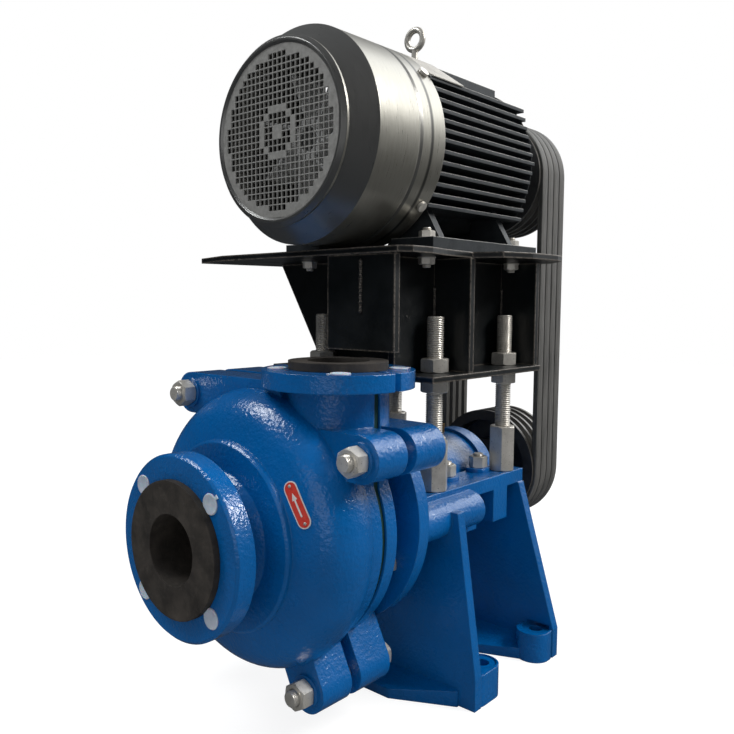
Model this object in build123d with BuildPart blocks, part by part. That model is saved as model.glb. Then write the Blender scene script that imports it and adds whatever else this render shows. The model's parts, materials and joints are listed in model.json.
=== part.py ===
from build123d import *
import os
from math import asin, cos, degrees, radians, sin, sqrt

# Horizontal rubber-lined slurry pump with an overhead belt drive.
# X points right and Y away for someone who faces the intake, Z points up.
# The origin lies on the floor, in the middle of the four base bolts.

os.makedirs("parts", exist_ok=True)

# Driving dimensions
shaft_height = 254
mount_rise = 177
mount_height = 169
cowl_radius = 135
cowl_gap = 5
base_hole_span_x = 330
base_hole_span_y = 150
seam_distance = 279
intake_to_seam = 176
discharge_offset = 84
discharge_reach = 199
belt_plane = 225

# Clearances
seat_gap = 0.3
run_gap = 0.4
overrun = 5

# Derived planes
seam_y = -seam_distance
intake_y = seam_y - intake_to_seam
discharge_top = shaft_height + discharge_reach
mount_floor = shaft_height + mount_rise
top_plate_z = mount_floor + mount_height
motor_rise = cowl_radius + cowl_gap
motor_centre_height = top_plate_z + motor_rise


def across(y, height=0):
    """Plane square to the shafts, drawn in X and Z, facing the intake."""
    return Plane(origin=(0, y, height), x_dir=(1, 0, 0), z_dir=(0, -1, 0))


def along(height):
    """Plane through a shaft, drawn in the distance along it and the radius."""
    return Plane(origin=(0, 0, height), x_dir=(0, 1, 0), z_dir=(1, 0, 0))


def shaft_line(height):
    """Axis of the shaft at this height."""
    return Axis((0, 0, height), (0, 1, 0))


def turned(height, *outline):
    """A piece turned about a shaft from (distance along it, radius) points."""
    with BuildPart() as piece:
        with BuildSketch(along(height)):
            with BuildLine():
                Polyline(*outline, close=True)
            make_face()
        revolve(axis=shaft_line(height))
    return piece


def ring(height, front, back, inner, outer):
    """A plain ring about a shaft."""
    return turned(height, (front, inner), (back, inner), (back, outer), (front, outer))


def disc(plane, radius, thickness):
    """A round boss or a cutter, from the plane towards its normal."""
    with BuildPart() as piece:
        with BuildSketch(plane):
            Circle(radius)
        extrude(amount=thickness)
    return piece.part


def nuts(plane, places, across_flats, bore, thickness, turn=0):
    """Hexagon nuts at these places of the plane."""
    with BuildPart() as piece:
        with BuildSketch(plane):
            with Locations(*places):
                RegularPolygon(across_flats / 2, 6, major_radius=False, rotation=turn)
                Circle(bore, mode=Mode.SUBTRACT)
        extrude(amount=thickness)
    return piece


def rods(plane, places, radius, length):
    """Round rods at these places of the plane."""
    with BuildPart() as piece:
        with BuildSketch(plane):
            with Locations(*places):
                Circle(radius)
        extrude(amount=length)
    return piece


# Wet end: sizes shared by the casing halves and the rubber between them
seal_edge = 5
casing_wall = 12
impeller_radius = 112
cutwater_gap = 6
volute_growth = 20
lining_wall = 8
rim_step = 2
volute_start_radius = impeller_radius + cutwater_gap
volute_end_radius = volute_start_radius + volute_growth
frame_rim_radius = volute_end_radius + lining_wall + casing_wall
cover_rim_radius = frame_rim_radius + rim_step
cover_rim_length = 16
dome_radius = 172
dome_distance = 52
shoulder_radius = 139
shoulder_distance = 97
hub_radius = 115
hub_distance = 105
hub_step = 8
neck_radius = 72
intake_flange_radius = 107.5
intake_flange_thickness = 28
intake_bolt_circle = 178
discharge_bolt_circle = 146
flange_hole_radius = 9
flange_hole_count = 4
flange_hole_turn = 45
flange_edge = 3
intake_liner_radius = 61.7
discharge_bore_radius = 38
discharge_liner_radius = 50
discharge_neck_radius = 62
discharge_flange_radius = 92.5
discharge_flange_thickness = 21

cover_back = seam_y - seal_edge
cover_rim_front = cover_back - cover_rim_length
dome_y = seam_y - dome_distance
shoulder_y = seam_y - shoulder_distance
hub_y = seam_y - hub_distance
hub_face = hub_y - hub_step
flange_back = intake_y + intake_flange_thickness
throat_face = hub_face + casing_wall

# Casing bolts, as X and Z from the shaft, and their lugs
lug_radius = 27
lug_washer_radius = 20
lug_washer_height = 3
lug_seam_gap = 8
cover_lug_length = 50
frame_lug_length = 56
casing_bolt_radius = 10
casing_nut_flats = 30
casing_nut_height = 18
casing_bolt_end = 7
lug_places = {
    "upper_right": ((171, 108), (100, 108)),
    "upper_left": ((-131, 157), (20, 157)),
    "lower_left": ((-171, -108), (-102, -64)),
    "lower_right": ((90, -180), (54, -108)),
}
bolt_places = [tip for tip, root in lug_places.values()]
cover_lug_back = seam_y - lug_seam_gap
cover_lug_front = cover_lug_back - cover_lug_length
frame_lug_front = seam_y + lug_seam_gap
frame_lug_back = frame_lug_front + frame_lug_length

# Frame plate outline
frame_rim_length = 22
frame_shoulder_radius = 128
frame_shoulder_length = 16
frame_hub_radius = 104
frame_hub_length = 10
stuffing_bore_radius = 60
frame_face_gap = 19
frame_front = seam_y + seal_edge
frame_rim_back = frame_front + frame_rim_length
frame_shoulder_y = frame_rim_back + frame_shoulder_length
frame_hub_y = frame_shoulder_y + frame_hub_length
pedestal_face = frame_hub_y + frame_face_gap
frame_inner_back = frame_shoulder_y - frame_shoulder_length / 4


def discharge_neck():
    """Neck and flange of the discharge, whole, before the seam divides it."""
    with BuildPart() as neck:
        with BuildSketch(Plane.XY.offset(shaft_height)):
            with Locations((discharge_offset, seam_y)):
                Circle(discharge_neck_radius)
        extrude(amount=discharge_top - shaft_height)
        with BuildSketch(Plane.XY.offset(discharge_top)):
            with Locations((discharge_offset, seam_y)):
                Circle(discharge_flange_radius)
        extrude(amount=-discharge_flange_thickness)
    return neck.part


def discharge_passage(radius):
    """Cutter for the way out, from the shaft's height through the flange."""
    with BuildPart() as passage:
        with BuildSketch(Plane.XY.offset(shaft_height)):
            with Locations((discharge_offset, seam_y)):
                Circle(radius)
        extrude(amount=discharge_top - shaft_height + 4 * overrun)
    return passage.part


def discharge_holes():
    """Cutters for the bolt holes of the discharge flange."""
    with BuildPart() as holes:
        with BuildSketch(Plane.XY.offset(discharge_top + overrun)):
            with Locations((discharge_offset, seam_y)):
                with PolarLocations(
                    discharge_bolt_circle / 2, flange_hole_count, start_angle=flange_hole_turn
                ):
                    Circle(flange_hole_radius)
        extrude(amount=-discharge_flange_thickness - 2 * overrun)
    return holes.part


def casing_lugs(back, length):
    """Four arms with round ends, reaching from the casing out to its bolts."""
    with BuildPart() as lugs:
        with BuildSketch(across(back, shaft_height)):
            for tip, root in lug_places.values():
                middle = ((tip[0] + root[0]) / 2, (tip[1] + root[1]) / 2)
                with Locations(middle):
                    run = sqrt((tip[0] - root[0]) ** 2 + (tip[1] - root[1]) ** 2)
                    slope = degrees(asin((tip[1] - root[1]) / run))
                    if tip[0] < root[0]:
                        slope = -slope
                    SlotCenterToCenter(run, 2 * lug_radius, rotation=slope)
        extrude(amount=length)
    return lugs.part


def lug_holes(back, length):
    """Cutters for the casing bolts."""
    return rods(
        across(back + overrun, shaft_height), bolt_places, casing_bolt_radius + seat_gap, length + 2 * overrun
    ).part


# Cover plate: domed front shell with the intake flange
lining_bulge = dome_radius - casing_wall
lining_rim = cover_rim_radius - casing_wall
lining_shoulder_y = shoulder_y + casing_wall
lining_shoulder = shoulder_radius - casing_wall
lining_hub = hub_radius - casing_wall
with BuildPart() as cover_plate:
    with BuildSketch(along(shaft_height)):
        with BuildLine():
            Polyline(
                (cover_rim_front, cover_rim_radius), (cover_back, cover_rim_radius), (cover_back, 0),
                (intake_y, 0),
                (intake_y, intake_flange_radius - flange_edge),
                (intake_y + flange_edge, intake_flange_radius),
                (flange_back - flange_edge, intake_flange_radius),
                (flange_back, intake_flange_radius - flange_edge),
                (flange_back, neck_radius + hub_step), (flange_back + hub_step, neck_radius),
                (hub_face - hub_step, neck_radius), (hub_face, neck_radius + hub_step),
                (hub_face, hub_radius - flange_edge), (hub_face + flange_edge, hub_radius),
                (hub_y, hub_radius), (shoulder_y, shoulder_radius),
            )
            ThreePointArc(
                (shoulder_y, shoulder_radius), (dome_y, dome_radius), (cover_rim_front, cover_rim_radius)
            )
        make_face()
    revolve(axis=shaft_line(shaft_height))
    add(discharge_neck())
    split(bisect_by=Plane.XZ.offset(-cover_back), keep=Keep.TOP)
    add(casing_lugs(cover_lug_back, cover_lug_length))
    add(rods(across(cover_lug_front, shaft_height), bolt_places, lug_washer_radius, lug_washer_height).part)
    with BuildSketch(along(shaft_height)):
        with BuildLine():
            Polyline(
                (cover_rim_front, lining_rim), (cover_back + overrun, lining_rim), (cover_back + overrun, 0),
                (intake_y - overrun, 0), (intake_y - overrun, intake_liner_radius + seat_gap),
                (throat_face, intake_liner_radius + seat_gap), (throat_face, lining_hub),
                (hub_y + casing_wall, lining_hub), (lining_shoulder_y, lining_shoulder),
            )
            ThreePointArc(
                (lining_shoulder_y, lining_shoulder), (dome_y, lining_bulge), (cover_rim_front, lining_rim)
            )
        make_face()
    revolve(axis=shaft_line(shaft_height), mode=Mode.SUBTRACT)
    add(discharge_passage(discharge_liner_radius + seat_gap), mode=Mode.SUBTRACT)
    add(discharge_holes(), mode=Mode.SUBTRACT)
    add(lug_holes(cover_lug_back, cover_lug_length + lug_washer_height), mode=Mode.SUBTRACT)
    with BuildSketch(across(flange_back + overrun, shaft_height)):
        with PolarLocations(intake_bolt_circle / 2, flange_hole_count, start_angle=flange_hole_turn):
            Circle(flange_hole_radius)
    extrude(amount=intake_flange_thickness + 2 * overrun, mode=Mode.SUBTRACT)
cover_plate.part.label = "cover_plate"
export_step(cover_plate.part, "parts/cover_plate.step")

# Frame plate: back shell, bolted to the pedestal disc by four studs
frame_stud_circle = 240
frame_stud_radius = 8
frame_boss_radius = 16
frame_boss_length = 24
frame_stud_angles = [-26, 70, 160, 250]
frame_stud_places = [
    (frame_stud_circle / 2 * cos(radians(angle)), frame_stud_circle / 2 * sin(radians(angle)))
    for angle in frame_stud_angles
]
frame_boss_back = frame_hub_y + frame_boss_radius / 4
frame_stud_front = frame_shoulder_y + frame_stud_radius / 4
frame_lining_rim = frame_rim_radius - casing_wall
frame_lining_hub = frame_shoulder_radius - casing_wall
with BuildPart() as frame_plate:
    with BuildSketch(along(shaft_height)):
        with BuildLine():
            Polyline(
                (frame_front, 0), (frame_front, frame_rim_radius),
                (frame_rim_back - flange_edge, frame_rim_radius),
                (frame_rim_back, frame_rim_radius - flange_edge),
                (frame_shoulder_y, frame_shoulder_radius), (frame_hub_y, frame_hub_radius),
                (pedestal_face, frame_hub_radius), (pedestal_face, 0), close=True,
            )
        make_face()
    revolve(axis=shaft_line(shaft_height))
    add(discharge_neck())
    split(bisect_by=Plane.XZ.offset(-frame_front), keep=Keep.BOTTOM)
    add(casing_lugs(frame_lug_back, frame_lug_length))
    add(
        rods(
            across(frame_boss_back, shaft_height), frame_stud_places, frame_boss_radius, frame_boss_length
        ).part
    )
    with BuildSketch(along(shaft_height)):
        with BuildLine():
            Polyline(
                (frame_front - overrun, 0), (frame_front - overrun, frame_lining_rim),
                (frame_rim_back - flange_edge, frame_lining_rim), (frame_inner_back, frame_lining_hub),
                (frame_inner_back, stuffing_bore_radius), (pedestal_face + overrun, stuffing_bore_radius),
                (pedestal_face + overrun, 0), close=True,
            )
        make_face()
    revolve(axis=shaft_line(shaft_height), mode=Mode.SUBTRACT)
    add(discharge_passage(discharge_liner_radius + seat_gap), mode=Mode.SUBTRACT)
    add(discharge_holes(), mode=Mode.SUBTRACT)
    add(lug_holes(frame_lug_back, frame_lug_length), mode=Mode.SUBTRACT)
    stud_plane = across(frame_boss_back + overrun, shaft_height)
    stud_reach = frame_boss_back - frame_stud_front + overrun
    add(
        rods(stud_plane, frame_stud_places, frame_stud_radius + seat_gap, stud_reach).part, mode=Mode.SUBTRACT
    )
frame_plate.part.label = "frame_plate"
export_step(frame_plate.part, "parts/frame_plate.step")

# Rubber linings: one hollow body, parted at the seam
chamber_front_depth = 59
chamber_back_depth = 47
volute_steps = 8
throat_height = 110
intake_bore_radius = 41
intake_ring_radius = 79
intake_ring_height = 8
throat_bush_radius = 95
discharge_ring_radius = 60.5
discharge_ring_height = 10
edge_recess = 3
lining_back_hole = 37
chamber_front = seam_y - chamber_front_depth
chamber_back = seam_y + chamber_back_depth
cutwater_x = discharge_offset - discharge_bore_radius
cutwater_angle = degrees(asin(throat_height / sqrt(throat_height**2 + cutwater_x**2)))


def volute_point(share):
    """Point of the spiral, from the cutwater (0) round to the shaft's height (1)."""
    angle = radians(cutwater_angle + share * (360 - cutwater_angle))
    radius = volute_start_radius + share * volute_growth
    return (radius * cos(angle), radius * sin(angle))


with BuildPart() as lining:
    with BuildSketch(along(shaft_height)):
        with BuildLine():
            Polyline(
                (cover_rim_front, lining_rim - seat_gap), (cover_back, lining_rim - seat_gap),
                (cover_back, frame_lining_rim - seat_gap),
                (frame_rim_back - flange_edge, frame_lining_rim - seat_gap),
                (frame_inner_back - seat_gap, frame_lining_hub - seat_gap), (frame_inner_back - seat_gap, 0),
                (throat_face + seat_gap, 0), (throat_face + seat_gap, lining_hub - seat_gap),
                (hub_y + casing_wall + seat_gap, lining_hub - seat_gap),
                (lining_shoulder_y + seat_gap, lining_shoulder - seat_gap),
            )
            ThreePointArc(
                (lining_shoulder_y + seat_gap, lining_shoulder - seat_gap),
                (dome_y, lining_bulge - seat_gap), (cover_rim_front, lining_rim - seat_gap),
            )
        make_face()
    revolve(axis=shaft_line(shaft_height))
    add(discharge_passage(discharge_liner_radius), mode=Mode.ADD)
    split(bisect_by=Plane.XY.offset(discharge_top), keep=Keep.BOTTOM)
    with BuildSketch(across(frame_front, shaft_height)):
        Circle(frame_rim_radius - edge_recess)
        neck_edge = discharge_top - edge_recess - shaft_height
        with Locations((discharge_offset, neck_edge / 2)):
            Rectangle(2 * (discharge_neck_radius - edge_recess), neck_edge)
    extrude(amount=2 * seal_edge)
    with BuildSketch(Plane.XY.offset(discharge_top)):
        with Locations((discharge_offset, seam_y)):
            Circle(discharge_ring_radius)
    extrude(amount=discharge_ring_height)
    with BuildSketch(across(chamber_back, shaft_height)):
        with BuildLine():
            Spline(*[volute_point(step / volute_steps) for step in range(volute_steps + 1)])
            Polyline(
                volute_point(1), (discharge_offset + discharge_bore_radius, throat_height),
                (cutwater_x, throat_height), volute_point(0),
            )
        make_face()
    extrude(amount=chamber_back - chamber_front, mode=Mode.SUBTRACT)
    add(discharge_passage(discharge_bore_radius), mode=Mode.SUBTRACT)
    add(
        disc(across(frame_front, shaft_height), throat_bush_radius + seat_gap, frame_front - intake_y),
        mode=Mode.SUBTRACT,
    )
    add(
        disc(across(pedestal_face, shaft_height), lining_back_hole, pedestal_face - frame_front),
        mode=Mode.SUBTRACT,
    )

with BuildPart() as cover_plate_liner:
    add(lining.part)
    split(bisect_by=Plane.XZ.offset(-seam_y), keep=Keep.TOP)
cover_plate_liner.part.label = "cover_plate_liner"
export_step(cover_plate_liner.part, "parts/cover_plate_liner.step")

with BuildPart() as frame_plate_liner:
    add(lining.part)
    split(bisect_by=Plane.XZ.offset(-seam_y), keep=Keep.BOTTOM)
frame_plate_liner.part.label = "frame_plate_liner"
export_step(frame_plate_liner.part, "parts/frame_plate_liner.step")

# Throat bush: intake ring, tube and wear face in one rubber moulding
throat_bush = turned(
    shaft_height,
    (intake_y - intake_ring_height, intake_bore_radius), (chamber_front, intake_bore_radius),
    (chamber_front, throat_bush_radius), (throat_face + seat_gap, throat_bush_radius),
    (throat_face + seat_gap, intake_liner_radius), (intake_y, intake_liner_radius),
    (intake_y, intake_ring_radius), (intake_y - intake_ring_height, intake_ring_radius),
)
throat_bush.part.label = "throat_bush"
export_step(throat_bush.part, "parts/throat_bush.step")

# Shaft sizes, as distances from the seam towards the drive
shaft_nose_reach = 11
impeller_seat_reach = 39
sleeve_reach = 127
journal_reach = 161
journal_length = 28
rear_journal_reach = 309
shaft_tail_reach = 549
thread_radius = 17
sleeve_seat_radius = 20
collar_radius = 25
journal_radius = 27.5
barrel_radius = 32
drive_radius = 21
sleeve_radius = 26
shaft_nose = seam_y + shaft_nose_reach
impeller_back = seam_y + impeller_seat_reach
sleeve_back = seam_y + sleeve_reach
front_journal = seam_y + journal_reach
rear_journal = seam_y + rear_journal_reach
shaft_tail = seam_y + shaft_tail_reach
pump_shaft = turned(
    shaft_height,
    (shaft_nose, 0), (shaft_nose, thread_radius), (impeller_back, thread_radius),
    (impeller_back, sleeve_seat_radius), (sleeve_back, sleeve_seat_radius), (sleeve_back, collar_radius),
    (front_journal, collar_radius), (front_journal, journal_radius),
    (front_journal + journal_length, journal_radius), (front_journal + journal_length, barrel_radius),
    (rear_journal, barrel_radius), (rear_journal, journal_radius),
    (rear_journal + journal_length, journal_radius), (rear_journal + journal_length, collar_radius),
    (rear_journal + 2 * journal_length, collar_radius), (rear_journal + 2 * journal_length, drive_radius),
    (shaft_tail - flange_edge, drive_radius), (shaft_tail, drive_radius - flange_edge), (shaft_tail, 0),
)
pump_shaft.part.label = "pump_shaft"
export_step(pump_shaft.part, "parts/pump_shaft.step")

shaft_sleeve = ring(
    shaft_height, impeller_back + seat_gap, sleeve_back, sleeve_seat_radius + seat_gap, sleeve_radius
)
shaft_sleeve.part.label = "shaft_sleeve"
export_step(shaft_sleeve.part, "parts/shaft_sleeve.step")

# Impeller: closed, five vanes between two shrouds, expelling vanes outside
impeller_side_gap = 4
shroud_thickness = 8
hub_boss_radius = 30
vane_count = 5
vane_thickness = 9
vane_root_radius = 44
vane_sweep = 95
expeller_height = 3
expeller_count = 4
impeller_front = chamber_front + impeller_side_gap
impeller_inner_front = impeller_front + expeller_height + shroud_thickness
impeller_inner_back = impeller_back - expeller_height - shroud_thickness


def vane_outline(root_radius, tip_radius, sweep):
    """A vane that leans back against the turning, as seen from the intake."""
    lean = radians(sweep)
    middle_radius = (root_radius + tip_radius) / 2
    with BuildSketch() as outline:
        with BuildLine():
            ThreePointArc(
                (root_radius, 0),
                (middle_radius * cos(lean / 3), -middle_radius * sin(lean / 3)),
                (tip_radius * cos(lean), -tip_radius * sin(lean)),
            )
        trace(line_width=vane_thickness)
    return outline.sketch


with BuildPart() as impeller:
    with BuildSketch(along(shaft_height)):
        with BuildLine():
            Polyline(
                (impeller_back, 0), (impeller_back, hub_boss_radius),
                (impeller_back - expeller_height, hub_boss_radius),
                (impeller_back - expeller_height, impeller_radius),
                (impeller_inner_back, impeller_radius),
                (impeller_inner_back, hub_boss_radius + shroud_thickness),
                (shaft_nose - shroud_thickness, hub_boss_radius), (shaft_nose - 3 * shroud_thickness, 0),
                close=True,
            )
        make_face()
        with BuildLine():
            Polyline(
                (impeller_front + expeller_height, intake_bore_radius),
                (impeller_front + expeller_height, impeller_radius),
                (impeller_inner_front, impeller_radius),
                (impeller_inner_front, intake_bore_radius + shroud_thickness),
                (impeller_inner_front + shroud_thickness, intake_bore_radius), close=True,
            )
        make_face()
    revolve(axis=shaft_line(shaft_height))
    with BuildSketch(across(impeller_inner_back + shroud_thickness / 2, shaft_height)):
        with PolarLocations(0, vane_count):
            add(vane_outline(vane_root_radius, impeller_radius - vane_thickness, vane_sweep))
    extrude(amount=impeller_inner_back - impeller_inner_front + shroud_thickness)
    for vane_plane in (
        across(impeller_front + expeller_height, shaft_height), across(impeller_back, shaft_height)
    ):
        with BuildSketch(vane_plane):
            with PolarLocations(0, expeller_count):
                add(vane_outline(vane_root_radius, impeller_radius - vane_thickness, vane_sweep / 2))
        extrude(amount=expeller_height)
    add(
        disc(
            across(impeller_back, shaft_height), thread_radius + seat_gap,
            impeller_back - shaft_nose + seat_gap,
        ),
        mode=Mode.SUBTRACT,
    )
impeller.part.label = "impeller"
export_step(impeller.part, "parts/impeller.step")

# Stuffing box with its lantern ring, packing and gland
box_bore_radius = 36
box_wall_length = 7
box_flange_radius = 56
box_back_reach = 93
lantern_length = 10
packing_length = 9.5
packing_count = 3
packing_gap = 0.2
gland_nose_length = 8
gland_thickness = 10
gland_bolt_offset = 46
gland_bolt_radius = 5
gland_bolt_length = 48
gland_nut_flats = 16
gland_nut_height = 8
box_front = frame_inner_back
box_back = seam_y + box_back_reach
box_floor = box_front + box_wall_length
gland_bolt_places = [(-gland_bolt_offset, 0), (gland_bolt_offset, 0)]
with BuildPart() as stuffing_box:
    add(
        turned(
            shaft_height,
            (box_front, sleeve_radius + run_gap), (box_floor, sleeve_radius + run_gap),
            (box_floor, box_bore_radius),
            (box_back, box_bore_radius), (box_back, box_flange_radius), (pedestal_face, box_flange_radius),
            (pedestal_face, stuffing_bore_radius - seat_gap), (box_front, stuffing_bore_radius - seat_gap),
        ).part
    )
    bolt_seat_plane = across(box_back + overrun, shaft_height)
    bolt_seat_depth = gland_bolt_length / 3 + overrun
    add(
        rods(bolt_seat_plane, gland_bolt_places, gland_bolt_radius + seat_gap, bolt_seat_depth).part,
        mode=Mode.SUBTRACT,
    )
stuffing_box.part.label = "stuffing_box"
export_step(stuffing_box.part, "parts/stuffing_box.step")

lantern_ring = ring(
    shaft_height, box_floor, box_floor + lantern_length, sleeve_radius + run_gap, box_bore_radius - seat_gap
)
lantern_ring.part.label = "lantern_ring"
export_step(lantern_ring.part, "parts/lantern_ring.step")

packing_front = box_floor + lantern_length + packing_gap
packing_pitch = packing_length + packing_gap
with BuildPart() as packing_rings:
    for place in range(packing_count):
        front = packing_front + place * packing_pitch
        add(
            ring(
                shaft_height, front, front + packing_length, sleeve_radius + run_gap,
                box_bore_radius - seat_gap,
            ).part
        )
packing_rings.part.label = "packing_rings"
export_step(packing_rings.part, "parts/packing_rings.step")

gland_front = packing_front + packing_count * packing_pitch + packing_gap
gland_face = gland_front + gland_nose_length
with BuildPart() as gland:
    add(
        turned(
            shaft_height,
            (gland_front, sleeve_radius + 2 * run_gap),
            (gland_face + gland_thickness, sleeve_radius + 2 * run_gap),
            (gland_face + gland_thickness, box_flange_radius), (gland_face, box_flange_radius),
            (gland_face, box_bore_radius - run_gap), (gland_front, box_bore_radius - run_gap),
        ).part
    )
    gland_cut_plane = across(gland_face + gland_thickness + overrun, shaft_height)
    gland_cut_depth = gland_thickness + 2 * overrun
    add(
        rods(gland_cut_plane, gland_bolt_places, gland_bolt_radius + run_gap, gland_cut_depth).part,
        mode=Mode.SUBTRACT,
    )
gland.part.label = "gland"
export_step(gland.part, "parts/gland.step")

gland_bolt_tail = box_back + gland_bolt_length * 2 / 3
gland_bolts = rods(
    across(gland_bolt_tail, shaft_height), gland_bolt_places, gland_bolt_radius, gland_bolt_length
)
gland_bolts.part.label = "gland_bolts"
export_step(gland_bolts.part, "parts/gland_bolts.step")

gland_nuts = nuts(
    across(gland_face + gland_thickness + gland_nut_height, shaft_height),
    gland_bolt_places, gland_nut_flats, gland_bolt_radius + run_gap, gland_nut_height,
)
gland_nuts.part.label = "gland_nuts"
export_step(gland_nuts.part, "parts/gland_nuts.step")

# Casing bolts, from the cover plate's lugs to the frame plate's
cover_nut_back = cover_lug_front - lug_washer_height
casing_bolt_front = cover_nut_back - casing_nut_height - casing_bolt_end
casing_bolt_back = frame_lug_back + casing_nut_height + casing_bolt_end
casing_bolts = rods(
    across(casing_bolt_back, shaft_height), bolt_places, casing_bolt_radius,
    casing_bolt_back - casing_bolt_front
)
casing_bolts.part.label = "casing_bolts"
export_step(casing_bolts.part, "parts/casing_bolts.step")

with BuildPart() as casing_nuts:
    for back in (cover_nut_back, frame_lug_back + casing_nut_height):
        nut_plane = across(back, shaft_height)
        add(
            nuts(
                nut_plane, bolt_places, casing_nut_flats, casing_bolt_radius + seat_gap, casing_nut_height
            ).part
        )
casing_nuts.part.label = "casing_nuts"
export_step(casing_nuts.part, "parts/casing_nuts.step")

# Pedestal: disc, cradle, two leg plates with their feet, one grey iron casting
pedestal_disc_radius = 155
pedestal_disc_thickness = 20
pedestal_disc_bore = 76.5
cradle_bore = 70.3
cradle_outer = 90
cradle_floor_wall = 16
cradle_rear_y = 97
rail_rise = 24
rail_thickness = 20
rail_outer = 124
lobe_offset = 125
lobe_drop = 9
lobe_radius = 25
lobe_length = 138
leg_thickness = 15
front_leg_y = -129
front_leg_top = 158
rear_leg_top = 126
leg_foot = 190
foot_height = 43
foot_width = 50
front_foot_length = 60
rear_foot_length = 38
foot_corner = 24
base_hole_radius = 10
spot_face_radius = 20
spot_face_depth = 2
nose_height = 22
nose_lip = 13
nose_width = 165
front_nose_width = 83
front_nose_reach = 48
front_nose_start = 4
rear_nose_width = 98
rear_nose_reach = 61
rear_nose_start = 32
stud_offset_x = 105
front_stud_y = -111
rear_stud_y = 66
stud_radius = 12
clamp_offset_x = 84
front_clamp_y = -50
rear_clamp_y = 33
clamp_bolt_radius = 8
clamp_bolt_depth = 44
clamp_block_width = 34
clamp_block_length = 38
clamp_block_height = 48
bearing_bore_front = -121
bearing_bore_back = 66
pedestal_disc_back = pedestal_face + pedestal_disc_thickness
rail_top = shaft_height + rail_rise
leg_top = rail_top - rail_thickness
lobe_height = shaft_height - lobe_drop
cradle_floor = shaft_height - cradle_bore - cradle_floor_wall
leg_middle_x = leg_foot - foot_width / 2
front_foot_span = leg_thickness + front_foot_length
rear_foot_span = leg_thickness + rear_foot_length
front_foot_y = front_leg_y + front_foot_span / 2
rear_foot_y = cradle_rear_y - rear_foot_span / 2
stud_places = [(x, y) for y in (front_stud_y, rear_stud_y) for x in (-stud_offset_x, stud_offset_x)]
clamp_places = [(x, y) for y in (front_clamp_y, rear_clamp_y) for x in (-clamp_offset_x, clamp_offset_x)]
clamp_blocks = [(side * (cradle_outer + clamp_block_width / 2), y) for y in (front_clamp_y, rear_clamp_y)
                for side in (-1, 1)]
base_places = [(x, y) for y in (-base_hole_span_y / 2, base_hole_span_y / 2)
               for x in (-base_hole_span_x / 2, base_hole_span_x / 2)]


def leg_plate(back, top_half_width):
    """A leg that spreads from the cradle down to the feet."""
    with BuildPart() as leg:
        with BuildSketch(across(back)):
            with BuildLine():
                Polyline(
                    (-top_half_width, leg_top), (top_half_width, leg_top), (leg_foot, foot_height),
                    (leg_foot, 0),
                    (-leg_foot, 0), (-leg_foot, foot_height), close=True,
                )
            make_face()
        extrude(amount=leg_thickness)
    return leg.part


def toe(back, start, reach, half_width):
    """A low toe along the foot of a leg, its top falling away from the leg."""
    with BuildPart() as piece:
        with BuildSketch():
            with BuildLine():
                Polyline(
                    (-nose_width, back), (-nose_width, back - start), (-half_width, back - reach),
                    (half_width, back - reach), (nose_width, back - start), (nose_width, back), close=True,
                )
            make_face()
        extrude(amount=nose_height)
        with BuildSketch(Plane.YZ.offset(-nose_width - overrun)):
            with BuildLine():
                Polyline(
                    (back - reach - overrun, nose_lip), (back - reach, nose_lip), (back, nose_height),
                    (back, nose_height + overrun), (back - reach - overrun, nose_height + overrun),
                    close=True,
                )
            make_face()
        extrude(amount=2 * (nose_width + overrun), mode=Mode.SUBTRACT)
    return piece.part


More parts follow.
